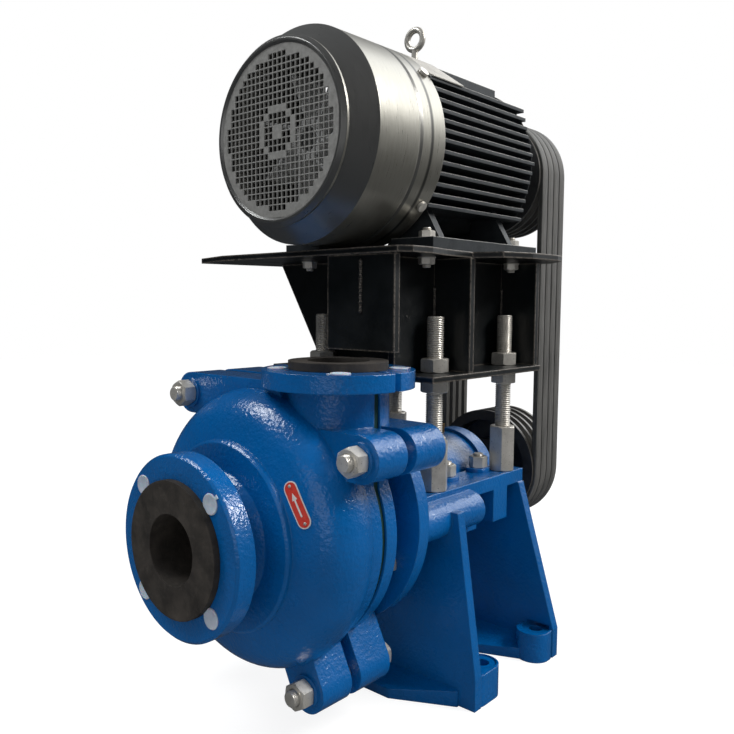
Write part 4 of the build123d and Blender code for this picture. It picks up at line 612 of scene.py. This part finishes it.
# %% Set out copies
set_out, given = new_tree("set_out", [
    ("Pattern", "Object"), ("Tilt", "Vector"), ("Spin", "Float"), ("Seed", "Int"), ("Finish", "Material"),
])
pattern = add_node(set_out, "GeometryNodeObjectInfo", {"Object": given["Pattern"]})
lowest_spin = math_node("MULTIPLY", given["Spin"], -1)
spin = add_node(
    set_out, "FunctionNodeRandomValue", {2: lowest_spin, 3: given["Spin"], "Seed": given["Seed"]},
    data_type="FLOAT",
)
about_axis = add_node(set_out, "ShaderNodeCombineXYZ", {"Z": spin.outputs[1]})
tilted = add_node(set_out, "FunctionNodeEulerToRotation", {0: given["Tilt"]})
spun = add_node(set_out, "FunctionNodeEulerToRotation", {0: about_axis.outputs[0]})
both = add_node(
    set_out, "FunctionNodeRotateRotation", {0: tilted.outputs[0], 1: spun.outputs[0]}, rotation_space="LOCAL"
)
copies = add_node(set_out, "GeometryNodeInstanceOnPoints", {
    "Points": given["Geometry"], "Instance": pattern.outputs["Geometry"], "Rotation": both.outputs[0],
})
end_tree(set_out, copies.outputs[0], given["Finish"])


def copies_of(mesh, points, finish, tilt=(0, 0, 0), spin=0.0, seed=1):
    """copies of a pattern mesh on points; tilt turns its Z to the wanted axis, spin turns it about that"""
    holder = bpy.data.objects.new("pattern", mesh)
    scene.collection.objects.link(holder)
    made = grow(set_out, points, Pattern=holder, Tilt=tilt, Spin=spin, Seed=seed, Finish=finish)
    bpy.data.objects.remove(holder)
    return made


def united(first, *others):
    """several meshes as one"""
    with edited(first) as work:
        for mesh in others:
            work.from_mesh(mesh)
    return first


def solids_redrawn(name, axis, redraw, ending, sharp, replaced=True):
    """a piece with one mesh for each solid of a part, drawn from its box, its length and its width"""
    meshes = []
    for low, high in solids(name):
        size = high - low
        width = min(size[k] for k in range(3) if k != axis)
        meshes.append(redraw(low, high, size[axis], width))
    stands_for = [name] if replaced else []
    join(name + ending, united(*meshes), sharp, body_of[name], "zinc_fasteners", *stands_for)


FRONTWARD = (math.radians(90), 0, 0)
UPRIGHT = (0, 0, 0)
print("set out tree has", len(set_out.nodes), "nodes")

# %% [markdown]
# ## Turned shapes
# A nut, a washer and a plug all come from one idea: rings of points, one above the other, whose radius
# may change with the angle. For a nut that radius is the hexagon, cut back by a cone near each face,
# which leaves the bright curved chamfers that every real nut has.

# %% Rings into a mesh


def lathe(rings, steps):
    """a closed mesh from rings; each ring is a function of the angle that gives (radius, height)"""
    mesh = bpy.data.meshes.new("turned")
    corners = []
    for ring_at in rings:
        for step in range(steps):
            angle = 2 * math.pi * step / steps
            radius, height = ring_at(angle)
            corners.append((radius * math.cos(angle), radius * math.sin(angle), height))
    faces = []
    for band in range(len(rings)):
        above = (band + 1) % len(rings)
        for step in range(steps):
            after = (step + 1) % steps
            faces.append((
                band * steps + step, band * steps + after, above * steps + after, above * steps + step,
            ))
    mesh.from_pydata(corners, [], faces)
    return mesh


def at(radius, height):
    """a plain round ring"""
    return lambda angle: (radius, height)


def nut_pattern(across_flats, thickness, bore):
    """a hexagon nut with both faces chamfered, centred on its middle"""
    flat = across_flats / 2
    chamfer_radius = flat * 0.96
    half_side = math.radians(30)
    slope = math.tan(half_side)

    def hexagon(angle):
        return flat / math.cos((angle + half_side) % (2 * half_side) - half_side)

    def corner_line(side):
        def ring_at(angle):
            drop = max(0.0, hexagon(angle) - chamfer_radius) * slope
            return hexagon(angle), side * (thickness / 2 - drop)
        return ring_at

    half = thickness / 2
    mouth = bore * 1.07
    return lathe([
        at(mouth, -half), at(chamfer_radius, -half), corner_line(-1), corner_line(1),
        at(chamfer_radius, half), at(mouth, half), at(bore, half - (mouth - bore)),
        at(bore, -half + (mouth - bore)),
    ], 48)


print("turned shapes ready")

# %% [markdown]
# ## Nuts
# The rigid model has plain hexagon blocks. Each set is replaced by chamfered nuts in the same places.
# The hexagon keeps the block's own turn, so a nut never bites into what stands beside it.

# %% Nuts on every set


def nut_set(name, axis, bore_share):
    """chamfered nuts in the places of a part's plain ones; axis is 1 for Y and 2 for Z"""
    def nut(low, high, thickness, flats):
        wide_in_x = high.x - low.x > flats * 1.05
        turn = 0 if wide_in_x else math.radians(30)
        tilt = (math.radians(90), turn, 0) if axis == 1 else (0, 0, turn)
        pattern_mesh = nut_pattern(flats, thickness, flats / 2 * bore_share)
        return copies_of(pattern_mesh, [(low + high) / 2], zinc, tilt)

    solids_redrawn(name, axis, nut, "_chamfered", 25)


for name, axis, bore_share in (
    ("casing_nuts", 1, 0.655), ("frame_nuts", 1, 0.655), ("gland_nuts", 1, 0.63), ("clamp_nuts", 2, 0.655),
    ("coupling_nuts", 2, 0.655), ("lower_nuts", 2, 0.655), ("upper_nuts", 2, 0.655), ("foot_nuts", 2, 0.63),
):
    nut_set(name, axis, bore_share)

# %% [markdown]
# ## Washers
# Plain washers lie under the nuts of the motor feet. Each is a ring with a turned edge, on the side
# of the nut that bears.

# %% Washers under the nuts
plate_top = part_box("mount_top_plate")[1].z


def washer(low, high, _, flats):
    """a washer at the end of a foot nut that bears: the lower end above the plate, the upper below it"""
    thickness = flats * 0.085
    outer, inner = flats * 0.64, flats * 0.40
    ring = lathe([
        at(inner, 0), at(outer * 0.97, 0), at(outer, thickness * 0.25), at(outer, thickness * 0.75),
        at(outer * 0.97, thickness), at(inner, thickness),
    ], 40)
    centre = (low + high) / 2
    above_plate = centre.z > plate_top
    centre.z = low.z if above_plate else high.z - thickness
    return copies_of(ring, [centre], zinc)


solids_redrawn("foot_nuts", 2, washer, "_washers", 30, replaced=False)

# %% [markdown]
# ## Screw threads
# A thread is a cylinder whose radius rises and falls with height, where the wave moves on by one
# pitch in each turn. In Geometry Nodes that is a cylinder with many rows and one sum on each point:
# the height in pitches plus the angle in turns, folded into a triangle wave.

# %% Thread tree
threads, given = new_tree("threads", [
    ("Radius", "Float"), ("Length", "Float"), ("Pitch", "Float"), ("Depth", "Float"),
    ("Tilt", "Vector"), ("Finish", "Material"),
])
rows_wanted = product(math_node("DIVIDE", given["Length"], given["Pitch"]), 4)
rows = add_node(threads, "FunctionNodeFloatToInt", {0: rows_wanted})
rod = add_node(threads, "GeometryNodeMeshCylinder", {
    "Vertices": 32, "Side Segments": rows.outputs[0], "Radius": given["Radius"], "Depth": given["Length"],
})
corner_at = add_node(threads, "GeometryNodeInputPosition").outputs[0]
where = add_node(threads, "ShaderNodeSeparateXYZ", {0: corner_at})
angle = math_node("ARCTAN2", where.outputs["Y"], where.outputs["X"])
turns = math_node("DIVIDE", angle, 2 * math.pi)
climbed = math_node("DIVIDE", where.outputs["Z"], given["Pitch"])
folded = math_node("PINGPONG", math_node("ADD", climbed, turns), 0.5)
inward = product(folded, 2)
from_middle = math_node("ABSOLUTE", where.outputs["Z"])
from_end = math_node("SUBTRACT", product(given["Length"], 0.5), from_middle)
at_end = math_node("LESS_THAN", from_end, product(given["Pitch"], 0.4))
depth_share = math_node("MAXIMUM", inward, at_end)
cut_in = product(depth_share, given["Depth"], -1)
outward = add_node(threads, "ShaderNodeCombineXYZ", {"X": where.outputs["X"], "Y": where.outputs["Y"]})
unit = vector_node("NORMALIZE", outward.outputs[0])
offset = vector_node("SCALE", unit, scale=cut_in)
cut = add_node(threads, "GeometryNodeSetPosition", {"Geometry": rod.outputs["Mesh"], "Offset": offset})
tilted = add_node(threads, "FunctionNodeEulerToRotation", {0: given["Tilt"]})
stood = add_node(threads, "GeometryNodeInstanceOnPoints", {
    "Points": given["Geometry"], "Instance": cut.outputs[0], "Rotation": tilted.outputs[0],
})
end_tree(threads, stood.outputs[0], given["Finish"])


def thread_set(name, axis, pitch):
    """threaded rods in the places of a part's plain ones"""
    def rod_at(low, high, length, width):
        return grow(
            threads, [(low + high) / 2], Radius=width / 2, Length=length, Pitch=pitch,
            Depth=pitch * 0.62, Tilt=FRONTWARD if axis == 1 else UPRIGHT, Finish=zinc,
        )

    solids_redrawn(name, axis, rod_at, "_threaded", 50)


for name, axis, pitch in (
    ("casing_bolts", 1, 0.0025), ("frame_studs", 1, 0.002), ("gland_bolts", 1, 0.00175),
    ("clamp_bolts", 2, 0.002), ("mount_studs", 2, 0.003), ("foot_bolts", 2, 0.00175),
):
    thread_set(name, axis, pitch)

# %% [markdown]
# ## The fan guard
# The guard is a pressed sheet with small square holes: a disc of them, a plain ring, and a small
# block of holes in the middle. A grid does it: each cell gets a smaller face inside it, that face is
# dropped where the distance of its middle, counted in pitches, lies in the block or in the disc, and
# the outermost corners are pulled onto the guard's circle. The flat sheet then gets its thickness.

# %% Guard tree
guard_low, guard_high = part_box("fan_guard")
guard_middle = (guard_low + guard_high) / 2
rim_overlap = 0.003
guard_radius = (guard_high.x - guard_low.x) / 2 + rim_overlap
HOLES_ACROSS, PITCHES_TO_RIM = 26, 13.1
BLOCK, DISC = (1.2, 3.2), (4.2, 11.7)
guard, given = new_tree("guard_sheet", [
    ("Radius", "Float"), ("Pitch", "Float"), ("Hole Share", "Float"), ("Finish", "Material"),
])
side = product(given["Pitch"], HOLES_ACROSS)
cells = add_node(guard, "GeometryNodeMeshGrid", {
    "Size X": side, "Size Y": side, "Vertices X": HOLES_ACROSS + 1, "Vertices Y": HOLES_ACROSS + 1,
})
pressed = add_node(
    guard, "GeometryNodeExtrudeMesh",
    {"Mesh": cells.outputs["Mesh"], "Offset Scale": 0.0, "Individual": True}, mode="FACES",
)
middle_of = add_node(guard, "GeometryNodeInputPosition").outputs[0]
far = vector_node("LENGTH", middle_of)
in_pitches = math_node("DIVIDE", far, given["Pitch"])


def between(low, high):
    """1 where the distance, in pitches, lies between two numbers"""
    return product(
        math_node("GREATER_THAN", in_pitches, low), math_node("LESS_THAN", in_pitches, high)
    )


open_cell = math_node("MAXIMUM", between(*BLOCK), between(*DISC))
hole = product(open_cell, pressed.outputs["Top"])
shrunk = add_node(guard, "GeometryNodeScaleElements", {
    "Geometry": pressed.outputs["Mesh"], "Selection": pressed.outputs["Top"], "Scale": given["Hole Share"],
})
holes_gone = add_node(
    guard, "GeometryNodeDeleteGeometry", {"Geometry": shrunk.outputs[0], "Selection": hole}, domain="FACE"
)
outside = math_node("GREATER_THAN", far, math_node("ADD", given["Radius"], given["Pitch"]))
trimmed = add_node(
    guard, "GeometryNodeDeleteGeometry", {"Geometry": holes_gone.outputs[0], "Selection": outside},
    domain="FACE",
)
on_circle = vector_node("SCALE", vector_node("NORMALIZE", middle_of), scale=given["Radius"])
rounded = add_node(guard, "GeometryNodeSetPosition", {
    "Geometry": trimmed.outputs[0], "Position": on_circle,
    "Selection": math_node("GREATER_THAN", far, given["Radius"]),
})
welded = add_node(guard, "GeometryNodeMergeByDistance", {"Geometry": rounded.outputs[0], "Distance": 0.00001})
facing = add_node(guard, "GeometryNodeTransform", {"Geometry": welded.outputs[0], "Rotation": FRONTWARD})
end_tree(guard, facing.outputs[0], given["Finish"])
sheet_mesh = grow(
    guard, [(0, 0, 0)], Radius=guard_radius, Pitch=guard_radius / PITCHES_TO_RIM, Hole_Share=0.83,
    Finish=guard_paint,
)
print("flat guard has", len(sheet_mesh.polygons), "faces")

# %% Guard thickness


def thicken(work, faces, along):
    """give an open sheet a thickness: a copy moved along a direction, joined round every free edge"""
    grown = bmesh.ops.extrude_face_region(work, geom=faces, use_keep_orig=True)
    moved = [item for item in grown["geom"] if isinstance(item, bmesh.types.BMVert)]
    bmesh.ops.translate(work, verts=moved, vec=along)
    turn_faces_out(work)


with edited(sheet_mesh) as work:
    bmesh.ops.dissolve_degenerate(work, dist=0.00001, edges=work.edges)
    turn_faces_out(work)
    thicken(work, list(work.faces), (0, guard_high.y - guard_low.y, 0))
sheet_mesh.transform(Matrix.Translation((guard_middle.x, guard_low.y - rim_overlap, guard_middle.z)))
join("guard_sheet", sheet_mesh, 20, body_of["fan_guard"], "cowl_grey", "fan_guard")

# %% [markdown]
# ## V-belts
# Four belts run side by side. Each is one section, a wedge with rounded top corners, swept round both
# pulleys. The piece is set on no body.

# %% Belt section and loop
belt_low, belt_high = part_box("v_belts")
BELT_COUNT = 4
belt_pitch, belt_depth = 0.019, 0.011
belt_width = belt_high.y - belt_low.y - (BELT_COUNT - 1) * belt_pitch
belt_radius = (belt_high.x - belt_low.x) / 2
belt_middle = (belt_low.y + belt_high.y) / 2
lower_centre, upper_centre = belt_low.z + belt_radius, belt_high.z - belt_radius
half_top = belt_width / 2
half_root = half_top - belt_depth * math.tan(math.radians(19))
corner = 0.0018
section = [
    (-half_root, -belt_depth), (half_root, -belt_depth), (half_top, -corner * 1.6),
    (half_top * 0.985, -corner * 0.6), (half_top - corner, -0.0001), (0, 0),
    (-half_top + corner, -0.0001), (-half_top * 0.985, -corner * 0.6), (-half_top, -corner * 1.6),
]
ARC_STEPS, RUN_STEPS = 40, 30
loop = []
for near, far_end, start in ((upper_centre, lower_centre, 0.0), (lower_centre, upper_centre, math.pi)):
    for step in range(ARC_STEPS + 1):
        angle = start + math.pi * step / ARC_STEPS
        loop.append((near, math.cos(angle), math.sin(angle)))
    for step in range(1, RUN_STEPS):
        loop.append((near + (far_end - near) * step / RUN_STEPS, -math.cos(start), 0.0))
print("belt section", len(section), "corners, loop", len(loop), "stations")

# %% Belts
corners = [
    ((belt_radius + outward_by) * out_x, aside, centre + (belt_radius + outward_by) * out_z)
    for centre, out_x, out_z in loop for aside, outward_by in section
]
wide = len(section)
faces = []
for step in range(len(loop)):
    here, after = step * wide, (step + 1) % len(loop) * wide
    for k in range(wide):
        beside = (k + 1) % wide
        faces.append((here + k, here + beside, after + beside, after + k))
belt_mesh = bpy.data.meshes.new("belt")
belt_mesh.from_pydata(corners, [], faces)
places = [(0, belt_middle + (k - (BELT_COUNT - 1) / 2) * belt_pitch, 0) for k in range(BELT_COUNT)]
belts_mesh = copies_of(belt_mesh, places, finishes["belt_rubber"])
with edited(belts_mesh) as work:
    turn_faces_out(work)
belts = join("wrapped_belts", belts_mesh, 40, None, "belt_rubber", "v_belts")
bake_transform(belts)

# %% [markdown]
# ## Weld beads
# The black mount is welded by hand. A bead is a row of drops of molten metal, each a little different in
# size, so the tree sets overlapping drops along a line with a seeded scale. Full beads stand where the
# webs meet the ribs, and a shorter one shows on the face of the front rib, over the web behind it.

# %% Weld bead tree
beads, given = new_tree("weld_beads", [
    ("Length", "Float"), ("Step", "Float"), ("Drop Radius", "Float"), ("Seed", "Int"), ("Finish", "Material"),
])
drops_wanted = add_node(
    beads, "FunctionNodeFloatToInt", {0: math_node("DIVIDE", given["Length"], given["Step"])}
)
upward = add_node(beads, "ShaderNodeCombineXYZ", {"Z": given["Step"]})
row = add_node(beads, "GeometryNodeMeshLine", {"Count": drops_wanted.outputs[0], "Offset": upward.outputs[0]})
drop = add_node(beads, "GeometryNodeMeshIcoSphere", {"Radius": given["Drop Radius"], "Subdivisions": 2})
share = add_node(
    beads, "FunctionNodeRandomValue", {2: 0.75, 3: 1.25, "Seed": given["Seed"]}, data_type="FLOAT"
)
row_of_drops = add_node(beads, "GeometryNodeInstanceOnPoints", {
    "Points": row.outputs[0], "Instance": drop.outputs[0], "Scale": share.outputs[1],
})
rows_set = add_node(beads, "GeometryNodeInstanceOnPoints", {
    "Points": given["Geometry"], "Instance": row_of_drops.outputs[0],
})
end_tree(beads, rows_set.outputs[0], given["Finish"])
print("weld bead tree has", len(beads.nodes), "nodes")

# %% Weld beads
ribs, webs = solids("mount_ribs"), solids("mount_webs")
end_gap, touching, front_share = 0.006, 0.002, 0.6
corners = []
for low, high in webs:
    for rib_low, rib_high in ribs:
        for web_end, rib_face in ((low.y, rib_high.y), (high.y, rib_low.y)):
            if abs(web_end - rib_face) < touching:
                corners += [(side, web_end, max(low.z, rib_low.z) + end_gap) for side in (low.x, high.x)]
front_low, front_high = min(ribs, key=lambda box: box[0].y)
web_middle = max((low.x + high.x) / 2 for low, high in webs)
longest = min(high.z - low.z for low, high in ribs) - 2 * end_gap
front_start = (web_middle, front_low.y, front_high.z - end_gap - longest * front_share)
black = finishes["black_steelwork"]
beads_mesh = united(*[
    grow(beads, starts, Length=length, Step=0.0026, Drop_Radius=0.0024, Seed=7, Finish=black)
    for starts, length in ((corners, longest), ([front_start], longest * front_share))
])
join("weld_beads", beads_mesh, 60, body_of["mount_webs"], "black_steelwork")

# %% [markdown]
# ## The motor's nameplate
# A bare metal plate with round corners bridges the outermost side fin and top fin, behind the cowl.
# Nothing is stamped on it.

# %% Nameplate
frame_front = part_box("motor_frame")[0].y
motor_low, motor_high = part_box("motor_shaft")
motor_axis = (motor_low.z + motor_high.z) / 2
fin_side = Vector((0.1098, 0, motor_axis + 0.0835))
fin_top = Vector((0.0585, 0, motor_axis + 0.1200))
across_fins = fin_top - fin_side
name_out = Vector((across_fins.z, 0, -across_fins.x)).normalized()
name_length, name_width, name_thickness = 0.074, across_fins.length + 0.004, 0.0014
name_centre = (fin_side + fin_top) / 2 + name_out * name_thickness / 2 + Vector((0, frame_front + 0.062, 0))
name_mesh = bpy.data.meshes.new("nameplate")
with edited(name_mesh) as work:
    bmesh.ops.create_cube(work, size=1)
    bmesh.ops.scale(work, verts=work.verts, vec=(name_width, name_length, name_thickness))
    upright_edges = [edge for edge in work.edges if abs(edge.verts[0].co.z - edge.verts[1].co.z) > 0.0001]
    bmesh.ops.bevel(work, geom=upright_edges, offset=0.003, segments=4, affect="EDGES")
facing_out = name_out.to_track_quat("Z", "Y").to_matrix().to_4x4() @ Matrix.Rotation(math.radians(90), 4, "Z")
name_mesh.transform(Matrix.Translation(name_centre) @ facing_out)
name_mesh.materials.append(zinc)
join("nameplate", name_mesh, 30, body_of["motor_frame"], "zinc_fasteners")

# %% [markdown]
# ## Plugs in the flange holes
# Until the pipes go on, the flange holes are closed with pale plastic plugs: a thin dished cap and a
# pull tab that points any way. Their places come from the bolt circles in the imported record.

# %% One plug
plug_plastic = even_paint(
    "plug_plastic", (160, 3, 0.6), [(0.3, (0.40, 0.46, 0.56)), (0.75, (0.55, 0.60, 0.68))],
    (0.3, 0.7, 0.30, 0.5), 0.0006, 0.0002,
    Specular_IOR_Level=0.5, Subsurface_Weight=0.35, Subsurface_Scale=0.004,
)
NEARLY_0 = 0.00001
cap_radius = 0.0118
cap_mesh = lathe([
    at(NEARLY_0, -0.0002), at(cap_radius, -0.0002), at(cap_radius * 1.02, 0.0005),
    at(cap_radius * 0.98, 0.0013), at(cap_radius * 0.88, 0.0015), at(cap_radius * 0.80, 0.0010),
    at(NEARLY_0, 0.0008),
], 36)
tab_width, tab_start, tab_reach, tab_top = 0.0032, cap_radius * 0.9, 0.0160, 0.0009
tab_mesh = bpy.data.meshes.new("tab")
with edited(tab_mesh) as work:
    bmesh.ops.create_cube(work, size=1)
    bmesh.ops.scale(work, verts=work.verts, vec=(tab_reach - tab_start, tab_width, tab_top))
    bmesh.ops.translate(work, verts=work.verts, vec=((tab_reach + tab_start) / 2, 0, tab_top / 2))
    tip = [corner for corner in work.verts if corner.co.x > tab_reach - 0.0001]
    bmesh.ops.scale(work, verts=tip, vec=(1, 1.5, 1))
plug_mesh = united(cap_mesh, tab_mesh)
print("one plug has", len(plug_mesh.polygons), "faces")

# %% Plugs in their holes


def hole_places(mount_name):
    """the middles of a flange's four holes, from the record's bolt circle"""
    mount = next(entry for entry in frame["record"]["mounts"] if entry["name"] == mount_name)
    circle = mount["dims"]["pcd_mm"] / 2 * MM
    level = abs(mount["axis"][2]) > 0.5
    found = []
    for degrees in (45, 135, 225, 315):
        x, other = math.cos(math.radians(degrees)), math.sin(math.radians(degrees))
        found.append(Vector(mount["pos_m"]) + circle * Vector((x, other, 0) if level else (x, 0, other)))
    return found


front_plugs = copies_of(plug_mesh, hole_places("intake_flange"), plug_plastic, FRONTWARD, math.pi, 11)
top_plugs = copies_of(plug_mesh, hole_places("discharge_flange"), plug_plastic, UPRIGHT, math.pi, 4)
join("hole_plugs", united(front_plugs, top_plugs), 35, "base", "lining_rubber")

# %% [markdown]
# ## The direction plate
# A small red plate is riveted to the right of the dome, with a pale border and an arrow for the sense
# of turning. Its ends and its middle are found where the camera's lines of sight through them meet the
# casting. It is thin sheet, bent to the casting, so each of its points is then dropped on the casting
# and lifted by the thickness of the sheet.

# %% Place of the direction plate
PICTURE = 734
casting = nodes["cover_plate"].data
tree_of_casting = BVHTree.FromPolygons(
    [corner.co for corner in casting.vertices], [tuple(face.vertices) for face in casting.polygons]
)


def on_casting(origin, direction):
    """where a line meets the casting, and which way the casting faces there"""
    place_hit, facing_hit, _, _ = tree_of_casting.ray_cast(origin, direction)
    if facing_hit.dot(direction) > 0:
        facing_hit = -facing_hit
    return place_hit, facing_hit


def sight_line(px, py):
    """the camera's line of sight through a point of the square picture"""
    focal = lens.lens / lens.sensor_width
    across = ((px / PICTURE - 0.5) + lens.shift_x) / focal
    rise = ((0.5 - py / PICTURE) + lens.shift_y) / focal
    return (forward + across * right + rise * up).normalized()


plate_top, _ = on_casting(eye, sight_line(289.5, 486))
plate_foot, _ = on_casting(eye, sight_line(305, 523.5))
plate_centre, plate_out = on_casting(eye, sight_line(297.3, 505))
plate_long = (plate_top - plate_foot).normalized()
plate_wide = plate_long.cross(plate_out).normalized()
end_margin = 0.0055
plate_half_length = (plate_top - plate_foot).length / 2 + end_margin
plate_half_width = 0.0085
print("direction plate is", round(plate_half_length * 2 / MM), "mm long")

# %% Sheet laid on the casting


def oblong(half_length, half_width, steps=14):
    """the outline of a plate with round ends, as (along, aside) points"""
    points = []
    straight = half_length - half_width
    for end, start_angle in ((straight, -90), (-straight, 90)):
        for step in range(steps + 1):
            angle = math.radians(start_angle + 180 * step / steps)
            points.append((end + half_width * math.cos(angle), half_width * math.sin(angle)))
    return points


def dropped(along_by, aside_by):
    """the point of the casting under a point of the plate"""
    above = plate_centre + plate_long * along_by + plate_wide * aside_by + plate_out * 0.03
    return on_casting(above, -plate_out)[0]


def draped(outline, thickness, finish):
    """a thin sheet of an outline, laid on the casting"""
    mesh = bpy.data.meshes.new("draped")
    with edited(mesh) as work:
        rim = [work.verts.new((x, y, 0)) for x, y in outline]
        edges = [work.edges.new((rim[k], rim[(k + 1) % len(rim)])) for k in range(len(rim))]
        bmesh.ops.triangle_fill(work, use_beauty=True, use_dissolve=False, edges=edges)
        for _ in range(2):
            bmesh.ops.subdivide_edges(work, edges=work.edges, cuts=1, use_grid_fill=True)
        sheet = list(work.faces)
        for face in sheet:
            if face.normal.z < 0:
                face.normal_flip()
        for corner in work.verts:
            corner.co = dropped(corner.co.x, corner.co.y) + plate_out * thickness
        thicken(work, sheet, -plate_out * thickness)
    mesh.materials.append(finish)
    return mesh


print("sheet helpers ready")

# %% Direction plate


def plate_paint(name, low_tone, high_tone):
    """the paint of a printed sheet, lightly scuffed"""
    return even_paint(
        name, (300, 4, 0.7), [(0.3, low_tone), (0.75, high_tone)], (0.3, 0.8, 0.28, 0.5), 0.0004, 0.0001,
        Specular_IOR_Level=0.5,
    )


plate_red = plate_paint("plate_red", (0.55, 0.035, 0.022), (0.68, 0.06, 0.035))
plate_white = plate_paint("plate_white", (0.62, 0.58, 0.55), (0.75, 0.72, 0.68))
border_width = 0.0013
border = draped(oblong(plate_half_length, plate_half_width), 0.0008, plate_white)
field_outline = oblong(plate_half_length - border_width, plate_half_width - border_width)
field = draped(field_outline, 0.0010, plate_red)
stem, head, wing = 0.0011, 0.0034, 0.0085
tip_at = plate_half_length - 0.0135
arrow = draped([
    (-tip_at, -stem), (tip_at - wing, -stem), (tip_at - wing, -head), (tip_at, 0), (tip_at - wing, head),
    (tip_at - wing, stem), (-tip_at, stem),
], 0.00115, plate_white)
for label, mesh in (
    ("direction_plate_border", border), ("direction_plate", field), ("direction_arrow", arrow),
):
    join(label, mesh, 40, "base", "blue_enamel")

# %% Rivets of the direction plate
rivet = lathe([
    at(NEARLY_0, 0.0), at(0.0019, 0.0), at(0.0018, 0.0005), at(0.0012, 0.0010), at(NEARLY_0, 0.0012),
], 20)
rivet_places = [dropped(end * (plate_half_length - end_margin), 0) + plate_out * 0.0010 for end in (1, -1)]
rivets = copies_of(rivet, rivet_places, zinc, tuple(plate_out.to_track_quat("Z", "Y").to_euler()))
join("direction_plate_rivets", rivets, 40, "base", "zinc_fasteners")

# %% [markdown]
# ## Floor, sky and lamps
# A pale floor and a plain surround keep the eye on the pump, and the camera sees both as white.
# Gloss and metal see a dim sky with one bright part, high behind the pump: it puts the lights of the
# hall's windows on the lugs and the cowl. The lamps stay soft: one high at the right behind the
# pump, one high at the left in front, and a weak one low in front.

# %% Floor
pale = bpy.data.materials.new("pale_stage")
pale.use_nodes = True
tree = pale.node_tree
tree.nodes.clear()
rays = add_node(tree, "ShaderNodeLightPath")
seen = math_node("MAXIMUM", rays.outputs["Is Glossy Ray"], rays.outputs["Is Transmission Ray"])
matte = add_node(tree, "ShaderNodeBsdfDiffuse", {"Color": (0.50, 0.50, 0.50, 1)})
glow = add_node(tree, "ShaderNodeEmission", {"Color": (0.9, 0.95, 1, 1), "Strength": 0.05})
mixed = add_node(tree, "ShaderNodeMixShader", {0: seen, 1: matte.outputs[0], 2: glow.outputs[0]})
thin = add_node(tree, "ShaderNodeBsdfDiffuse", {"Color": (0.24, 0.24, 0.24, 1)})
lift = add_node(tree, "ShaderNodeEmission", {"Color": (1, 1, 1, 1), "Strength": 0.88})
lifted = add_node(tree, "ShaderNodeAddShader", {0: thin.outputs[0], 1: lift.outputs[0]})
chosen = add_node(
    tree, "ShaderNodeMixShader", {0: rays.outputs["Is Camera Ray"], 1: mixed.outputs[0], 2: lifted.outputs[0]}
)
add_node(tree, "ShaderNodeOutputMaterial", {"Surface": chosen.outputs[0]})
floor_mesh = bpy.data.meshes.new("floor")
reach = 6.0
floor_mesh.from_pydata(
    [(-reach, -reach, 0), (reach, -reach, 0), (reach, reach, 0), (-reach, reach, 0)], [], [(0, 1, 2, 3)]
)
floor_mesh.materials.append(pale)
floor = bpy.data.objects.new("floor", floor_mesh)
scene.collection.objects.link(floor)
print("floor ready")

# %% Sky
world = bpy.data.worlds.new("pale_world")
world.use_nodes = True
scene.world = world
tree = world.node_tree
tree.nodes.clear()
rays = add_node(tree, "ShaderNodeLightPath")
sky_place = add_node(tree, "ShaderNodeTexCoord").outputs["Generated"]
sky = ramp(part_of(sky_place, "Z"), [
    (0.0, (0.07, 0.075, 0.08)), (0.35, (0.30, 0.31, 0.33)), (1.0, (1.75, 1.80, 1.86)),
])
to_bright = vector_node("DOT_PRODUCT", sky_place, (0.18, 0.80, 0.57))
mirror = ramp(to_bright, [
    (0.0, (0.02, 0.023, 0.025)), (0.5, (0.06, 0.065, 0.07)), (0.78, (0.40, 0.41, 0.42)),
    (0.90, (1.5, 1.53, 1.56)), (0.97, (4.8, 4.9, 5.0)),
])
seen_in_gloss = mix_colour(rays.outputs["Is Glossy Ray"], sky, mirror)
dim = add_node(tree, "ShaderNodeBackground", {"Color": seen_in_gloss, "Strength": 0.55})
white = add_node(tree, "ShaderNodeBackground", {"Color": (1, 1, 1, 1), "Strength": 1.0})
chosen = add_node(
    tree, "ShaderNodeMixShader", {0: rays.outputs["Is Camera Ray"], 1: dim.outputs[0], 2: white.outputs[0]}
)
add_node(tree, "ShaderNodeOutputWorld", {"Surface": chosen.outputs[0]})
print("sky has", len(tree.nodes), "nodes")

# %% Lamps


def lamp(name, place, target, size, power, warmth=(1, 1, 1)):
    """a soft square lamp that faces a target"""
    light = bpy.data.lights.new(name, "AREA")
    light.shape = "SQUARE"
    light.size = size
    light.energy = power
    light.color = warmth
    holder = bpy.data.objects.new(name, light)
    scene.collection.objects.link(holder)
    away = Vector(place) - Vector(target)
    holder.location = place
    holder.rotation_euler = away.to_track_quat("Z", "Y").to_euler()


middle = (0, -0.1, 0.5)
lamp("right_lamp", (2.0, 1.0, 2.3), middle, 1.0, 70, (1, 0.98, 0.95))
lamp("left_lamp", (-1.3, -1.5, 2.8), middle, 1.0, 40, (0.97, 0.99, 1))
lamp("front_lamp", (1.3, -2.6, 0.9), middle, 1.6, 6)
print("lamps ready")
